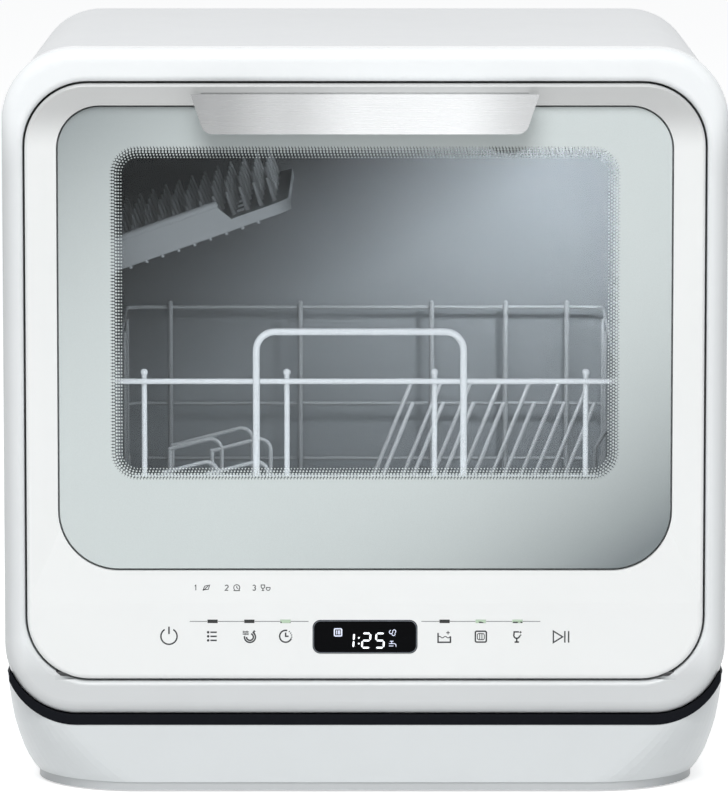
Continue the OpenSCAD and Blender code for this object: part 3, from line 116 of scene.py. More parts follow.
def eased(nt, factor, stops):
    """Smooth ramp through (position, colour) stops, the first at 0 and the last at 1."""
    ramp = nt.nodes.new("ShaderNodeValToRGB")
    ramp.color_ramp.interpolation = "EASE"
    knots = ramp.color_ramp.elements
    for i, (pos, colour) in enumerate(stops):
        knot = knots[0] if i == 0 else knots[-1] if i == len(stops) - 1 else knots.new(pos)
        knot.color = (*colour, 1)
    link(nt, factor, ramp.inputs["Fac"])
    return ramp.outputs["Color"]


def bump(nt, height, strength, distance):
    b = nt.nodes.new("ShaderNodeBump")
    b.inputs["Strength"].default_value = strength
    b.inputs["Distance"].default_value = distance
    link(nt, height, b.inputs["Height"])
    return b.outputs["Normal"]


def multiplied(nt, colour, other):
    mul = nt.nodes.new("ShaderNodeMix")
    mul.data_type = "RGBA"
    mul.blend_type = "MULTIPLY"
    mul.inputs["Factor"].default_value = 1
    link(nt, colour, mul.inputs["A"])
    link(nt, other, mul.inputs["B"])
    return mul.outputs["Result"]


def scaled(nt, colour, factor):
    scale = nt.nodes.new("ShaderNodeVectorMath")
    scale.operation = "SCALE"
    link(nt, colour, scale.inputs[0])
    link(nt, factor, scale.inputs["Scale"])
    return scale.outputs["Vector"]


def shade(colour, k):
    return tuple(min(1, c * k) for c in colour)


def new_material(name):
    mat = bpy.data.materials.new(name)
    mat.use_nodes = True
    nt = mat.node_tree
    nt.nodes.clear()
    return mat, nt, nt.nodes.new("ShaderNodeOutputMaterial")


def principled(name):
    """A new material whose main shader is already joined to the output."""
    mat, nt, out = new_material(name)
    p = nt.nodes.new("ShaderNodeBsdfPrincipled")
    link(nt, p.outputs[0], out.inputs["Surface"])
    return mat, nt, p


# ---------------------------------------------------------------- camera, light, floor
def make_camera():
    data = bpy.data.cameras.new("camera")
    data.sensor_width = 36
    data.lens = 288.9
    data.clip_start, data.clip_end = 0.05, 60
    cam = bpy.data.objects.new("camera", data)
    cam.location = (-0.0006, FRONT - 3.692, 0.683)
    cam.rotation_euler = (math.radians(90 - 6.976), 0, 0)
    scene.collection.objects.link(cam)
    scene.camera = cam


def area_lamp(name, at, aim, size, watts, spread_deg=180):
    data = bpy.data.lights.new(name, "AREA")
    data.spread = math.radians(spread_deg)
    data.shape = "RECTANGLE"
    data.size, data.size_y = size
    data.energy = watts
    lamp = bpy.data.objects.new(name, data)
    lamp.location = at
    lamp.rotation_euler = (Vector(aim) - Vector(at)).to_track_quat("-Z", "Y").to_euler()
    scene.collection.objects.link(lamp)
    return lamp


def seen_directly(nt):
    """1 for rays that show the background, straight or in metal and glass, else 0."""
    path = nt.nodes.new("ShaderNodeLightPath").outputs
    glassy = math_node(nt, "MAXIMUM", path["Is Glossy Ray"], path["Is Transmission Ray"])
    return math_node(nt, "MAXIMUM", path["Is Camera Ray"], glassy)


def make_world():
    world = bpy.data.worlds.new("studio")
    scene.world = world
    world.use_nodes = True
    nt = world.node_tree
    nt.nodes.clear()
    out = nt.nodes.new("ShaderNodeOutputWorld")
    lit, shown = (nt.nodes.new("ShaderNodeBackground") for _ in range(2))
    for node, colour, strength in ((lit, (0.97, 0.985, 1), 0.36), (shown, (1, 1, 1), 1.0)):
        node.inputs["Color"].default_value = (*colour, 1)
        node.inputs["Strength"].default_value = strength
    link(nt, mix_shaders(nt, seen_directly(nt), lit.outputs[0], shown.outputs[0]), out.inputs["Surface"])


def make_lamps():
    """One large soft lamp, and three small ones for the light that falls into the tub."""
    area_lamp("key", (-0.25, -2.3, 3.3), (0, 0, 0.22), (2.4, 2.0), 107)
    # name, x and depth and height of the lamp, the same of its aim, size, watts, spread
    for name, at, aim, size, watts, spread_deg in (
            ("inside_rear", (0.135, 0.15, 0.35), (0.125, 0.34, 0.32), (0.03, 0.02), 0.58, 120),
            ("inside_middle", (0.05, 0.12, 0.335), (0.05, 0.34, 0.21), (0.16, 0.05), 0.32, 150),
            ("inside_front", (0.0, 0.046, 0.262), (0.0, 0.30, 0.262), (0.31, 0.23), 0.52, 180)):
        at, aim = ((x, FRONT + depth, z) for x, depth, z in (at, aim))
        lamp = area_lamp(name, at, aim, size, watts, spread_deg)
        lamp.visible_camera = False
        lamp.visible_glossy = False


def make_floor():
    reach = 14
    mat, nt, out = new_material("floor")
    pale = nt.nodes.new("ShaderNodeBsdfDiffuse")
    pale.inputs["Color"].default_value = (0.9, 0.9, 0.9, 1)
    lift = nt.nodes.new("ShaderNodeEmission")
    link(nt, math_node(nt, "MULTIPLY", seen_directly(nt), 0.62), lift.inputs["Strength"])
    add = nt.nodes.new("ShaderNodeAddShader")
    link(nt, pale.outputs[0], add.inputs[0])
    link(nt, lift.outputs[0], add.inputs[1])
    link(nt, add.outputs[0], out.inputs["Surface"])
    mesh = bpy.data.meshes.new("floor")
    corners = [(x * reach, y * reach, 0) for x, y in ((-1, -1), (1, -1), (1, 1), (-1, 1))]
    mesh.from_pydata(corners, [], [(0, 1, 2, 3)])
    mesh.materials.append(mat)
    floor = bpy.data.objects.new("floor", mesh)
    scene.collection.objects.link(floor)


# ---------------------------------------------------------------- painted light and shade by place
def painted_height_shade(nt, colour, shade_levels):
    """Painted shade by height: a grey factor on a colour, as (height in metres, factor) pairs from bottom to
    top.
    """
    z0, z1 = shade_levels[0][0], shade_levels[-1][0]
    stops = [((z - z0) / (z1 - z0), (k, k, k)) for z, k in shade_levels]
    return multiplied(nt, colour, eased(nt, spread(nt, object_xyz(nt)["Z"], 0, 1, z0, z1), stops))


def painted_side_light(nt, colour, inner, outer, lift, z_low, z_high):
    """Painted light: lightens a colour towards the inner edge of the two side posts."""
    place = object_xyz(nt)
    off = spread(nt, math_node(nt, "ABSOLUTE", place["X"]), 1, 0, inner, outer)
    above = spread(nt, place["Z"], 0, 1, z_low, z_low + 0.02)
    below = spread(nt, place["Z"], 1, 0, z_high - 0.04, z_high)
    mask = math_node(nt, "MULTIPLY", off, math_node(nt, "MULTIPLY", above, below))
    return scaled(nt, colour, math_node(nt, "MULTIPLY_ADD", mask, lift, 1.0))


def painted_corner_shade(nt, colour):
    """Painted shade: darkens a colour towards the upper left of the inside of the tub."""
    place = object_xyz(nt)
    down = math_node(nt, "MULTIPLY", math_node(nt, "SUBTRACT", 0.300, place["Z"]), 1.6)
    return scaled(nt, colour, spread(nt, math_node(nt, "ADD", place["X"], down), 0.18, 1, -0.12, 0.06))


def painted_print_shade(nt, cloud):
    """0 to 1 over the printed glass: painted shade, darker towards the upper left and the lower right corner.
    """
    place = object_xyz(nt)
    x = spread(nt, place["X"], -1, 1, -0.178, 0.178)
    z = spread(nt, place["Z"], -1, 1, 0.132, 0.402)
    level = 0.91
    for a, b, fall in ((x, z, -1.2), (z, x, -0.80)):
        towards = math_node(nt, "MULTIPLY", math_node(nt, "SUBTRACT", a, b), 0.5, clamp=True)
        level = math_node(nt, "MULTIPLY_ADD", math_node(nt, "POWER", towards, 3), fall, level)
    return math_node(nt, "MULTIPLY_ADD", math_node(nt, "SUBTRACT", cloud, 0.5), 0.10, level, clamp=True)


# ---------------------------------------------------------------- materials
def plastic(name, colour, rough, grain=0.02, grain_scale=900, mottle=0.02, spec=0.5, shade_levels=None, side_light=None):
    """Moulded plastic: faint cloudiness, a fine moulded grain and uneven gloss, with optional painted shade
    by height and painted light on the inner edges of the side posts.
    """
    mat, nt, p = principled(name)
    v = object_coords(nt)
    tone = two_tone(nt, noise(nt, v, 14, 4), shade(colour, 1 - mottle), colour)
    if shade_levels:
        tone = painted_height_shade(nt, tone, shade_levels)
    if side_light:
        tone = painted_side_light(nt, tone, *side_light)
    link(nt, tone, p.inputs["Base Color"])
    link(nt, spread(nt, noise(nt, v, 60, 3), rough * 0.96, rough * 1.05), p.inputs["Roughness"])
    link(nt, bump(nt, noise(nt, v, grain_scale, 2), grain, 0.0003), p.inputs["Normal"])
    p.inputs["Specular IOR Level"].default_value = spec
    return mat


def brushed(name, colour, rough, along="x", metal=1.0, depth=0.12, corner=False):
    """Brushed or rolled metal, with its lines along one axis; corner adds painted shade towards the upper
    left of the tub.
    """
    mat, nt, p = principled(name)
    stretch = {"x": (0.02, 1, 1), "y": (1, 0.02, 1)}[along]
    streaks = noise(nt, object_coords(nt, stretch), 1440, 4, 0.6)
    tone = two_tone(nt, noise(nt, object_coords(nt), 11, 3), shade(colour, 0.93), colour)
    link(nt, painted_corner_shade(nt, tone) if corner else tone, p.inputs["Base Color"])
    link(nt, spread(nt, streaks, rough * 0.8, rough * 1.25), p.inputs["Roughness"])
    link(nt, bump(nt, streaks, depth, 0.0002), p.inputs["Normal"])
    p.inputs["Metallic"].default_value = metal
    return mat


def handle_painted_reflection():
    """Satin anodised metal with a painted reflection: its tone runs slowly from grey to bright along its
    length.
    """
    mat, nt, p = principled("handle_metal")
    along = spread(nt, object_xyz(nt)["X"], 0, 1, -0.1, 0.1)
    reflection_greys = ((0.0, 0.34), (0.07, 0.37), (0.26, 0.53), (0.5, 0.76), (0.76, 0.80), (1.0, 0.54))
    stops = [(pos, (grey, grey * 1.015, grey * 1.025)) for pos, grey in reflection_greys]
    link(nt, eased(nt, along, stops), p.inputs["Base Color"])
    grain = noise(nt, object_coords(nt, (0.02, 1, 1)), 1500, 4, 0.6)
    link(nt, spread(nt, grain, 0.2, 0.32), p.inputs["Roughness"])
    link(nt, bump(nt, grain, 0.012, 0.0002), p.inputs["Normal"])
    p.inputs["Metallic"].default_value = 1.0
    return mat


def rubber(name, colour, rough=0.6):
    """Dull rubber with a fine speckle."""
    mat, nt, p = principled(name)
    v = object_coords(nt)
    speck = noise(nt, v, 500, 3)
    link(nt, two_tone(nt, speck, shade(colour, 0.7), colour), p.inputs["Base Color"])
    link(nt, spread(nt, speck, rough, rough + 0.15), p.inputs["Roughness"])
    link(nt, bump(nt, noise(nt, v, 1400, 3), 0.15, 0.0003), p.inputs["Normal"])
    return mat


def pane(name, tint, gloss, dust=0.004):
    """Clear sheet glass that lets lamp light through, with a thin gloss and a trace of haze."""
    mat, nt, out = new_material(name)
    clear = nt.nodes.new("ShaderNodeBsdfTransparent")
    clear.inputs["Color"].default_value = (*tint, 1)
    shine = nt.nodes.new("ShaderNodeBsdfGlossy")
    shine.inputs["Roughness"].default_value = 0.03
    shine.inputs["Color"].default_value = (0.95, 0.98, 0.97, 1)
    haze = nt.nodes.new("ShaderNodeBsdfDiffuse")
    haze.inputs["Color"].default_value = (0.75, 0.8, 0.8, 1)
    facing = nt.nodes.new("ShaderNodeLayerWeight")
    facing.inputs["Blend"].default_value = 0.5
    sharp = math_node(nt, "POWER", facing.outputs["Facing"], 4.0)
    factor = math_node(nt, "MULTIPLY_ADD", sharp, 0.8, gloss, clamp=True)
    smear = spread(nt, noise(nt, object_coords(nt, (1, 1, 0.4)), 22, 4), 0.0, dust, 0.4, 0.75)
    veil = mix_shaders(nt, smear, clear.outputs[0], haze.outputs[0])
    link(nt, mix_shaders(nt, factor, veil, shine.outputs[0]), out.inputs["Surface"])
    return mat


def frosted_print():
    """The satin grey enamel around the window: very fine sparkle, a soft cloudiness and painted shade towards
    two corners.
    """
    mat, nt, p = principled("frosted_print")
    v = object_coords(nt)
    speck = noise(nt, v, 2600, 2)
    print_shade = painted_print_shade(nt, noise(nt, v, 7, 3))
    base = two_tone(nt, print_shade, (0.21, 0.24, 0.25), (0.69, 0.75, 0.745), 0.0, 1.0)
    grain = two_tone(nt, speck, (0.93, 0.93, 0.93), (1, 1, 1), 0.35, 0.65)
    link(nt, multiplied(nt, base, grain), p.inputs["Base Color"])
    link(nt, spread(nt, speck, 0.34, 0.5), p.inputs["Roughness"])
    link(nt, bump(nt, speck, 0.05, 0.0001), p.inputs["Normal"])
    p.inputs["Specular IOR Level"].default_value = 0.4
    return mat


def ink(name, colour, rough=0.5):
    """Printed ink with a slightly uneven coat."""
    mat, nt, p = principled(name)
    v = object_coords(nt)
    coat = two_tone(nt, noise(nt, v, 1500, 2), shade(colour, 0.8), shade(colour, 1.15))
    link(nt, coat, p.inputs["Base Color"])
    link(nt, spread(nt, noise(nt, v, 700, 2), rough * 0.9, rough * 1.2), p.inputs["Roughness"])
    return mat


def glow(name, colour, strength):
    """A lit display segment: brighter in the middle of its own grain."""
    mat, nt, p = principled(name)
    tone = two_tone(nt, noise(nt, object_coords(nt), 1800, 2), shade(colour, 0.88), colour)
    link(nt, tone, p.inputs["Emission Color"])
    link(nt, tone, p.inputs["Base Color"])
    p.inputs["Emission Strength"].default_value = strength
    p.inputs["Roughness"].default_value = 0.4
    return mat


def indicator():
    """Six light pipes: three dark, three lit pale green in their upper part."""
    mat, nt, p = principled("indicator")
    place = object_xyz(nt)
    left = math_node(nt, "COMPARE", place["X"], -0.0463, 0.004)
    right = math_node(nt, "COMPARE", place["X"], 0.078, 0.016)
    lit = math_node(nt, "MAXIMUM", left, right)
    high = math_node(nt, "GREATER_THAN", place["Z"], 0.10135)
    patch = math_node(nt, "GREATER_THAN", noise(nt, object_coords(nt), 420, 2), 0.47)
    on = math_node(nt, "MULTIPLY", lit, math_node(nt, "MAXIMUM", high, patch))
    tone = two_tone(nt, on, (0.008, 0.010, 0.010), (0.34, 0.44, 0.33), 0.2, 0.8)
    link(nt, tone, p.inputs["Base Color"])
    link(nt, tone, p.inputs["Emission Color"])
    link(nt, math_node(nt, "MULTIPLY", on, 0.45), p.inputs["Emission Strength"])
    p.inputs["Roughness"].default_value = 0.3
    return mat


def circuit():
    """Green board with a faint net of copper tracks."""
    mat, nt, p = principled("circuit")
    brick = nt.nodes.new("ShaderNodeTexBrick")
    brick.inputs["Scale"].default_value = 60
    brick.inputs["Mortar Size"].default_value = 0.03
    for socket, colour in (("Color1", (0.02, 0.16, 0.07)), ("Color2", (0.02, 0.13, 0.06)),
            ("Mortar", (0.05, 0.30, 0.12))):
        brick.inputs[socket].default_value = (*colour, 1)
    link(nt, object_coords(nt), brick.inputs["Vector"])
    link(nt, brick.outputs["Color"], p.inputs["Base Color"])
    p.inputs["Roughness"].default_value = 0.35
    return mat


# ---------------------------------------------------------------- outlines, in mm on the front
def arc(cx, cz, r, a0, a1, n=24):
    return [(cx + r * math.cos(math.radians(a0 + (a1 - a0) * i / n)),
        cz + r * math.sin(math.radians(a0 + (a1 - a0) * i / n))) for i in range(n + 1)]


def rounded(x0, x1, z0, z1, r, n=8, r_low=None):
    """Rounded rectangle, anticlockwise from the right; r_low is for its two lower corners."""
    q = r if r_low is None else r_low
    pts = []
    for cx, cz, a, radius in ((x1 - r, z1 - r, 0, r), (x0 + r, z1 - r, 90, r),
            (x0 + q, z0 + q, 180, q), (x1 - q, z0 + q, 270, q)):
        pts += arc(cx, cz, radius, a, a + 90, n)
    return pts


def octagon(cx, cz, r, turn=0.0):
    return [(cx + r * math.cos(a * math.pi / 4 + turn), cz + r * math.sin(a * math.pi / 4 + turn))
        for a in range(8)]


def looped(pts):
    return pts + pts[:1]


def is_loop(pts):
    return len(pts) > 2 and math.dist(pts[0], pts[-1]) < 1e-6


def mm(pts, cx=0.0, cz=0.0):
    return [((cx + x) * MM, (cz + z) * MM) for x, z in pts]


# ---------------------------------------------------------------- mesh helpers
def make_piece(name, bm, material, body):
    mesh = bpy.data.meshes.new(name)
    bmesh.ops.recalc_face_normals(bm, faces=bm.faces)
    bm.to_mesh(mesh)
    bm.free()
    obj = bpy.data.objects.new(name, mesh)
    scene.collection.objects.link(obj)
    mesh.materials.append(material)
    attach(obj, body)


def face_y(z):
    """y of the white control face at height z (metres): flat below, then leaning back."""
    return FRONT + max(0.0, (z - 0.112) * 0.075)


def front_y(z):
    return FRONT


def glass_y(z):
    """y of the door glass, which sits 4.4 mm behind the front plane."""
    return FRONT + 4.4 * MM


def plate(bm, ring, y_of, thick):
    """Thin closed plate with the outline ring [(x, z)], standing proud of the surface y_of(z)."""
    front = [bm.verts.new((x, y_of(z) - thick, z)) for x, z in ring]
    back = [bm.verts.new((x, y_of(z), z)) for x, z in ring]
    bm.faces.new(front)
    bm.faces.new(list(reversed(back)))
    n = len(ring)
    for i in range(n):
        j = (i + 1) % n
        bm.faces.new([front[i], back[i], back[j], front[j]])


def stroke(bm, pts, width, y_of, thick, closed=False):
    """A drawn line: short quads along a polyline, with mitred corners."""
    n = len(pts)
    rows = []
    for i, (x, z) in enumerate(pts):
        before = pts[i - 1] if (i or closed) else None
        after = pts[(i + 1) % n] if (i < n - 1 or closed) else None
        d1 = Vector((x - before[0], z - before[1])).normalized() if before else None
        d2 = Vector((after[0] - x, after[1] - z)).normalized() if after else None
        d1, d2 = d1 or d2, d2 or d1
        t = (d1 + d2)
        t = t.normalized() if t.length > 1e-6 else d1
        nrm = Vector((-t.y, t.x))
        k = width / 2 / max(0.5, nrm.dot(Vector((-d1.y, d1.x))))
        one, other = (x + nrm.x * k, z + nrm.y * k), (x - nrm.x * k, z - nrm.y * k)
        rows.append([bm.verts.new((q[0], y_of(q[1]) - lift, q[1]))
            for q, lift in ((one, thick), (other, thick), (other, 0), (one, 0))])
    for i in range(n if closed else n - 1):
        r, s = rows[i], rows[(i + 1) % n]
        for k in range(4):
            m = (k + 1) % 4
            bm.faces.new([r[k], r[m], s[m], s[k]])
    if not closed:
        bm.faces.new(rows[0])
        bm.faces.new(list(reversed(rows[-1])))


def strokes(bm, polylines, cx, cz, width, y_of, thick):
    """Lines of one width round the middle (cx, cz), all in mm but thick."""
    for pts in polylines:
        closed = is_loop(pts)
        stroke(bm, mm(pts[:-1] if closed else pts, cx, cz), width * MM, y_of, thick, closed)


make_camera()
make_world()
scene.view_settings.view_transform = "Standard"
make_lamps()
make_floor()

# ---------------------------------------------------------------- finishes of the CAD nodes, some with painted light and shade
# front frame: painted light and shade, bright along the top and darker lower down, and painted light on the
# inner edges of the side posts
white = plastic("white_gloss", (0.90, 0.925, 0.935), 0.26, grain=0.015,
    shade_levels=((0.04, 0.73), (0.36, 0.74), (0.405, 1.0), (0.44, 1.0)), side_light=(0.1985, 0.2065, 0.28, 0.07, 0.40))
# door: painted shadow on the band along its top, under the frame
door_white = plastic("door_gloss", (0.89, 0.905, 0.90), 0.24, grain=0.015,
    shade_levels=((0.06, 1.0), (0.375, 0.97), (0.402, 0.62), (0.42, 0.60)))
shell_grey = plastic("casing_satin", (0.72, 0.74, 0.755), 0.36, grain=0.05, grain_scale=1300)
base_white = plastic("base_gloss", (0.71, 0.74, 0.75), 0.32, grain=0.03)
# plinth: a darker copy of the white plastic, painted shade near the floor
plinth_shaded_white = plastic("plinth_satin", (0.54, 0.56, 0.57), 0.36, grain=0.03)
dark = plastic("dark_plastic", (0.012, 0.013, 0.016), 0.5, grain=0.06, spec=0.0)
pump_black = plastic("pump_black", (0.03, 0.032, 0.035), 0.5, grain=0.1)
natural = plastic("natural_plastic", (0.72, 0.74, 0.72), 0.4, mottle=0.06)
shelf_grey = plastic("shelf_grey", (0.28, 0.30, 0.31), 0.38, grain=0.04)
lens_black = plastic("lens_black", (0.002, 0.0023, 0.003), 0.08, grain=0.0, spec=0.03)
coat_wire = plastic("wire_coat", (0.80, 0.83, 0.84), 0.28, grain=0.06, grain_scale=500)
# tines: the same white coated wire, a little darker as painted shade
tine_wire_shaded = plastic("wire_coat_tines_shaded", (0.74, 0.77, 0.78), 0.30, grain=0.06, grain_scale=500)
# rear and side wires of the rack: the same white coated wire, darker as painted shade
shaded_wire = plastic("wire_coat_shaded", (0.37, 0.39, 0.40), 0.32, grain=0.06, grain_scale=500)
seal = rubber("seal_rubber", (0.10, 0.105, 0.11))
black_rubber = rubber("black_rubber", (0.02, 0.02, 0.022))
# tub: painted shade towards the upper left of the inside
tub_steel = brushed("tub_steel", (0.42, 0.45, 0.47), 0.42, "x", metal=0.45, depth=0.04, corner=True)
liner_steel = brushed("liner_steel", (0.62, 0.65, 0.67), 0.30, "x", depth=0.05)
steel = brushed("steel", (0.66, 0.67, 0.68), 0.28, "x", depth=0.08)
# hinge pins: dark steel, the darkness paints the shade of the gap they show through at the door's lower
# corners
pin_shade_steel = brushed("pin_shade_steel", (0.05, 0.05, 0.053), 0.45, "x", metal=0.3, depth=0.08)
heater_steel = brushed("heater_steel", (0.50, 0.48, 0.46), 0.32, "y", depth=0.08)
motor_steel = brushed("motor_steel", (0.55, 0.55, 0.56), 0.4, "y", depth=0.1)
handle_metal = handle_painted_reflection()
outer_pane = pane("outer_pane", (0.77, 0.78, 0.79), 0.010)
inner_pane = pane("inner_pane", (0.80, 0.81, 0.82), 0.008)
print_grey = frosted_print()
symbol_ink = ink("symbol_ink", (0.012, 0.014, 0.017))
line_ink = ink("line_ink", (0.10, 0.11, 0.11))
# painted highlight on the rounded edge of the display lens
lens_painted_highlight = ink("lens_painted_highlight", (0.13, 0.145, 0.165))
digit_glow = glow("digit_glow", (0.92, 0.95, 1.0), 0.85)
icon_glow = glow("icon_glow", (0.62, 0.66, 0.80), 0.6)

FINISH = {
    white: ["front_frame"],
    door_white: ["door_shell"],
    shell_grey: ["casing", "back_panel"],
    base_white: ["base"],
    plinth_shaded_white: ["plinth"],
    dark: ["base_band", "sump", "arm_feed", "door_catch", "cable_gland", "drain_spigot"],
    pump_black: ["wash_pump", "drain_pump", "fan_housing", "fan_rotor"],
    natural: ["inlet_valve", "air_break", "wash_impeller", "drain_impeller", "dispenser",
        "dispenser_lid", "rack_glides"],
    shelf_grey: ["cup_shelf"],
    lens_black: ["display_lens", "display_module"],
    coat_wire: ["rack_front", "rack_handle"],
    tine_wire_shaded: ["rack_floor", "tines_front", "tines_rear", "cup_loops"],
    shaded_wire: ["rack_rear", "rack_left", "rack_right"],
    seal: ["tub_seal"],
    black_rubber: ["feet", "spray_hose", "drain_hose", "fill_hose"],
    tub_steel: ["tub"],
    liner_steel: ["door_liner"],
    steel: ["filter_plate", "filter_cartridge", "spray_arm", "runners", "shelf_bracket",
        "panel_screws", "handle_screws", "latch_hook"],
    pin_shade_steel: ["hinge_pins"],
    heater_steel: ["heater"],
    motor_steel: ["wash_motor", "drain_motor"],
    handle_metal: ["door_handle"],
    outer_pane: ["door_glass"],
    inner_pane: ["inner_glass"],
    indicator(): ["led_bars"],
    circuit(): ["control_board"],
}
for mat, names in FINISH.items():
    for n in names:
        NODES[n].data.materials.clear()
        NODES[n].data.materials.append(mat)
finished = {n for names in FINISH.values() for n in names}
assert finished == set(NODES), sorted(finished ^ set(NODES))

# ---------------------------------------------------------------- print on the glass
GLASS_BOX = (-177.4, 177.4, 132.0, 401.0)
GLASS_R_TOP, GLASS_R_LOW = 24.2, 34.2
WINDOW = (-147.6, 147.6, 184.0, 378.4)
WINDOW_R = 16.0
FIELD_THICK = 0.05 * MM
DOT_THICK = 0.045 * MM
DOT_PITCH = 1.9
DOT_ROW = 1.55
DOT_START = 0.35
DOT_R = (0.90, 0.78, 0.66, 0.53, 0.40)     # one radius per row, shrinking inwards


def print_field():
    """The grey printed field: a thin layer with the window left open."""
    bm = bmesh.new()
    n = 24
    rings = [[bm.verts.new((x, glass_y(z) - lift, z)) for x, z in mm(ring)]
        for ring in (rounded(*GLASS_BOX, GLASS_R_TOP, n, GLASS_R_LOW), rounded(*WINDOW, WINDOW_R, n))
        for lift in (FIELD_THICK, 0)]
    of, ob, nf, nb = rings          # outer front and back, inner front and back
    m = len(of)
    for i in range(m):
        j = (i + 1) % m
        bm.faces.new([of[i], of[j], nf[j], nf[i]])
        bm.faces.new([ob[j], ob[i], nb[i], nb[j]])
        bm.faces.new([of[j], of[i], ob[i], ob[j]])
        bm.faces.new([nf[i], nf[j], nb[j], nb[i]])
    make_piece("glass_print", bm, print_grey, "door")


def contour_points(inset, step, shift):
    """Points spaced evenly along the window outline moved inwards by inset."""
    x0, x1, z0, z1 = WINDOW
    ring = looped(rounded(x0 + inset, x1 - inset, z0 + inset, z1 - inset, max(1.0, WINDOW_R - inset), 20))
    lengths = [math.dist(a, b) for a, b in zip(ring, ring[1:])]
    total = sum(lengths)
    count = max(8, round(total / step))
    out, i, gone = [], 0, 0.0
    for k in range(count):
        want = (k + shift) * total / count
        while i < len(lengths) - 1 and gone + lengths[i] < want:
            gone += lengths[i]
            i += 1
        t = (want - gone) / max(lengths[i], 1e-9)
        a, b = ring[i], ring[i + 1]
        out.append((a[0] + (b[0] - a[0]) * t, a[1] + (b[1] - a[1]) * t))
    return out


def print_dots():
    """Rows of printed dots that shrink towards the clear window."""
    bm = bmesh.new()
    for row, r in enumerate(DOT_R):
        for x, z in contour_points(DOT_START + row * DOT_ROW, DOT_PITCH, 0.5 * (row % 2)):
            plate(bm, mm(octagon(x, z, r, 0.39)), glass_y, DOT_THICK)
    make_piece("glass_dots", bm, print_grey, "door")


print_field()
print_dots()

# ---------------------------------------------------------------- symbols on the control face
INK = 0.04 * MM
KEY_LINE, START_LINE, FINE_LINE, WAVE_LINE, SPARK_LINE = 0.86, 0.8, 0.5, 0.45, 0.46
NUMERAL_LINE, LIST_LINE, RULE_LINE = 0.52, 0.46, 0.36
KEY_Z = 92.7
LIST_Z = 121.2
RULE_Z = 101.5
BARS = [-88.7, -67.3, -46.3, 46.3, 67.3, 88.7]
BAR_GAP = 3.1            # from the middle of an indicator bar to the end of the thin line
NUMERAL = {
    1: [[(-0.5, 0.9), (0.1, 1.5), (0.1, -1.5)]],
    2: [arc(0, 0.6, 0.9, 160, -30, 12) + [(-0.9, -1.5), (0.95, -1.5)]],
    3: [arc(-0.05, 0.72, 0.78, 150, -80, 12), arc(-0.05, -0.68, 0.86, 80, -150, 12)],
}


def cross(x, z, s):
    return [[(x - s, z), (x + s, z)], [(x, z - s), (x, z + s)]]


def wave(x, z, step, height, turn, count):
    return [(x + i * step, z + height * math.sin(i * turn)) for i in range(count)]


# x, z below the row of keys, [(lines, width), ...]
KEYS = {
    "power": (-114.1, 0, [([arc(0, 0, 4.7, 122, 418, 40), [(0, 1.3), (0, 5.7)]], KEY_LINE)]),
    "programme": (-88.9, 0, [
        ([[(-1.1, k), (2.6, k)] for k in (2.4, 0, -2.4)], KEY_LINE),
        ([arc(-2.4, k, 0.3, 0, 360, 10) for k in (2.4, 0, -2.4)], KEY_LINE)]),
    "drying": (-67.4, 0, [
        ([arc(0.4, -0.4, 3.2, 60, -190, 30), arc(0.4, -0.4, 2.0, 70, -180, 24)], KEY_LINE),
        ([wave(-3.8, 1.1 + k * 0.85, 0.5, 0.25, 1.6, 8) for k in range(3)], WAVE_LINE),
        (cross(2.9, 2.9, 0.7), FINE_LINE)]),
    "delay": (-46.2, 0, [
        ([arc(0, 0, 3.5, 75, 340, 34), [(0, 2.2), (0, 0), (1.7, 0)]], KEY_LINE),
        ([arc(0, 0, 3.5, a, a + 9, 3) for a in (-12, 8, 28, 48)], KEY_LINE)]),
    "water": (46.1, 0.6, [
        ([[(-3.6, 2.6), (-3.6, -2.9), (3.6, -2.9), (3.6, 0.6)]], KEY_LINE),
        ([wave(-3.6, 0.1, 0.48, 0.45, 0.9, 16)], FINE_LINE),
        (cross(2.2, 2.7, 1.0), FINE_LINE)]),
    "air": (67.4, 0.2, [
        ([looped(rounded(-3.2, 3.2, -3.2, 3.2, 0.9, 4))], KEY_LINE),
        ([looped(rounded(-2, 2, -1.8, 1.8, 0.9, 4))], FINE_LINE),
        ([[(k, -1.7), (k, 1.7)] for k in (-0.65, 0.65)], FINE_LINE)]),
    "glass": (88.6, 0.4, [
        ([[(1.0, 3.0), (-1.8, 3.0)] + arc(-0.3, 1.0, 1.75, 160, 355, 16), [(-0.3, -0.8), (-0.3, -3.0)],
            [(-1.6, -3.0), (1.0, -3.0)]], KEY_LINE),
        (cross(1.9, 2.8, 0.7) + cross(2.0, 1.1, 0.4), SPARK_LINE)]),
    "start": (114.1, 0.3, [
        ([[(-4.5, 3.4), (0.9, 0), (-4.5, -3.4), (-4.5, 3.4)], [(2.2, 3.4), (2.2, -3.4)],
            [(4.4, 3.4), (4.4, -3.4)]], START_LINE)]),
}
# x, lines: leaf, clock, glass and cup
LIST_MARKS = (
    (-92.3, [[(-1.9, -1.3), (-0.9, 0.9), (1.9, 1.5), (1.2, -0.9), (-1.9, -1.3)], [(-1.9, -1.6), (1.0, 0.9)]]),
    (-74.6, [arc(0, 0, 1.75, -50, 230, 20), [(0, 1.0), (0, 0), (0.9, -0.6)], [(-1.9, -1.7), (1.9, -1.7)]]),
    (-57.8, [[(-2.6, 1.6), (-0.6, 1.6)] + arc(-1.6, 0.6, 1.0, 0, -180, 12) + [(-2.6, 1.6)],
        [(-1.6, -0.4), (-1.6, -1.6)], [(-2.3, -1.6), (-0.9, -1.6)],
        [(0.4, 0.1), (2.6, 0.1)] + arc(1.5, -0.5, 1.1, 0, -180, 12) + [(0.4, 0.1)]]),
)


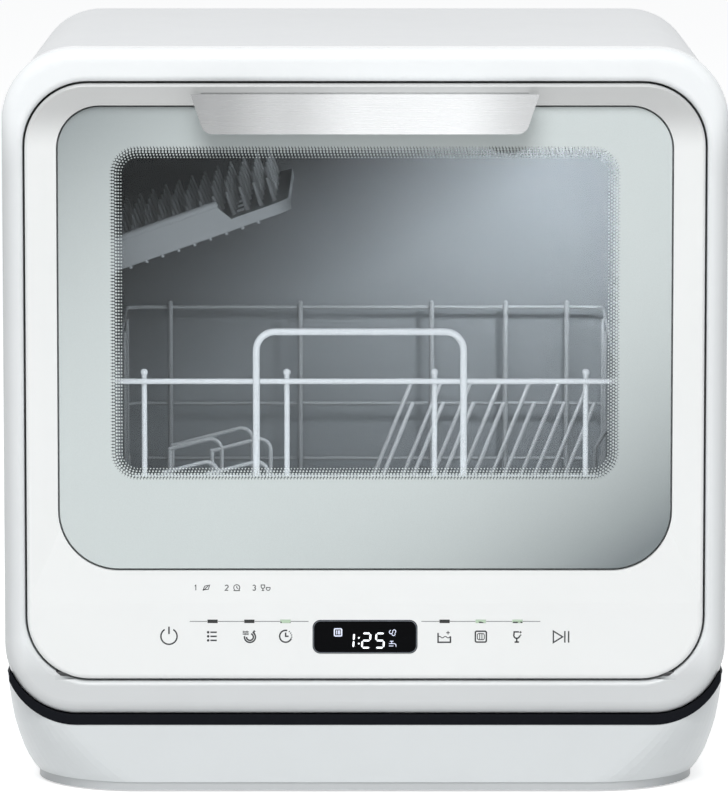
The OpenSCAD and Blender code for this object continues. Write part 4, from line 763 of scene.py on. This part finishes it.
def symbols():
    bm = bmesh.new()
    for x, below, groups in KEYS.values():
        for polylines, width in groups:
            strokes(bm, polylines, x, KEY_Z - below, width, face_y, INK)
    make_piece("key_symbols", bm, symbol_ink, "door")

    bm = bmesh.new()
    for number, x in ((1, -98.5), (2, -80.5), (3, -64.5)):
        strokes(bm, NUMERAL[number], x, LIST_Z, NUMERAL_LINE, face_y, INK)
    for x, polylines in LIST_MARKS:
        strokes(bm, polylines, x, LIST_Z, LIST_LINE, face_y, INK)
    make_piece("programme_marks", bm, symbol_ink, "door")

    # thin line through the indicators, broken where they sit
    bm = bmesh.new()
    for x0, x1 in ((-102, -32.9), (32.8, 102)):
        stops = [x0] + [v for b in BARS if x0 < b < x1 for v in (b - BAR_GAP, b + BAR_GAP)] + [x1]
        for a, b in zip(stops[::2], stops[1::2]):
            strokes(bm, [[(a, 0), (b, 0)]], 0, RULE_Z, RULE_LINE, face_y, INK)
    make_piece("indicator_line", bm, line_ink, "door")


symbols()

# ---------------------------------------------------------------- display
LIGHT_THICK = 0.03 * MM
DIGIT_Z = 90.2
DIGIT_W, DIGIT_H = 2.3, 4.2      # half sizes
SEGMENT_W = 1.05
SEGMENT_GAP = 0.25
LEAN = 0.06
SEGMENTS = {"1": "bc", "2": "abged", "5": "afgcd"}


def segment_bar(bm, x0, z0, x1, z1):
    """One six-sided segment between two points."""
    u = Vector((x1 - x0, z1 - z0)).normalized()
    v = Vector((-u.y, u.x))
    h = SEGMENT_W / 2
    ring = [(x0, z0), (x0 + u.x * h + v.x * h, z0 + u.y * h + v.y * h),
        (x1 - u.x * h + v.x * h, z1 - u.y * h + v.y * h), (x1, z1),
        (x1 - u.x * h - v.x * h, z1 - u.y * h - v.y * h), (x0 + u.x * h - v.x * h, z0 + u.y * h - v.y * h)]
    plate(bm, mm(ring), front_y, LIGHT_THICK)


def digit(bm, ch, cx):
    w, h = DIGIT_W, DIGIT_H
    ends = {"a": (-w, h, w, h), "b": (w, h, w, 0), "c": (w, 0, w, -h), "d": (-w, -h, w, -h),
        "e": (-w, 0, -w, -h), "f": (-w, h, -w, 0), "g": (-w, 0, w, 0)}
    for s in SEGMENTS[ch]:
        x0, z0, x1, z1 = ends[s]
        d = Vector((x1 - x0, z1 - z0)).normalized() * SEGMENT_GAP
        x0, z0, x1, z1 = x0 + d.x, z0 + d.y, x1 - d.x, z1 - d.y
        segment_bar(bm, cx + x0 + z0 * LEAN, DIGIT_Z + z0, cx + x1 + z1 * LEAN, DIGIT_Z + z1)


def display():
    bm = bmesh.new()
    for ch, cx in (("1", -8.9), ("2", 0.7), ("5", 8.7)):
        digit(bm, ch, cx)
    for up in (1.6, -1.8):
        plate(bm, mm(octagon(-3.6, DIGIT_Z + up, 0.55)), front_y, LIGHT_THICK)
    make_piece("display_digits", bm, digit_glow, "door")

    # programme frame, steam cloud, tap
    bm = bmesh.new()
    for x, z, width, polylines in (
            (-15.7, 95.0, 0.7, [looped(rounded(-2.1, 2.1, -2.1, 2.1, 0.5, 3))]),
            (-15.7, 95.0, 0.5, [[(k, -1.2), (k, 1.2)] for k in (-0.8, 0.2, 1.0)]),
            (16.1, 94.7, 0.42, [arc(-1.0, 0.5, 1.0, 90, 360, 14), arc(0.9, 0.9, 0.9, -60, 200, 14),
                arc(0.5, -0.7, 0.9, 180, 400, 14)]),
            (16.1, 88.6, 0.42, [[(-2.2, -0.2), (1.2, -0.2), (1.9, -0.9), (1.9, -2.0)],
                [(-0.6, -0.2), (-0.6, 1.2)], [(-1.6, 1.2), (0.4, 1.2)], [(-2.2, -1.6), (0.4, -1.6)]])):
        strokes(bm, polylines, x, z, width, front_y, LIGHT_THICK)
    make_piece("display_icons", bm, icon_glow, "door")

    # painted highlight along the edge of the lens
    bm = bmesh.new()
    lo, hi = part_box("display_lens")
    inset, corner = 0.45, 4.2
    half_w, half_h = ((hi[k] - lo[k]) / 2 / MM - inset for k in (0, 2))
    mid_x, mid_z = ((lo[k] + hi[k]) / 2 / MM for k in (0, 2))
    edge = looped(rounded(-half_w, half_w, -half_h, half_h, corner))
    strokes(bm, [edge], mid_x, mid_z, 0.5, front_y, LIGHT_THICK)
    make_piece("display_painted_highlight", bm, lens_painted_highlight, "door")


display()
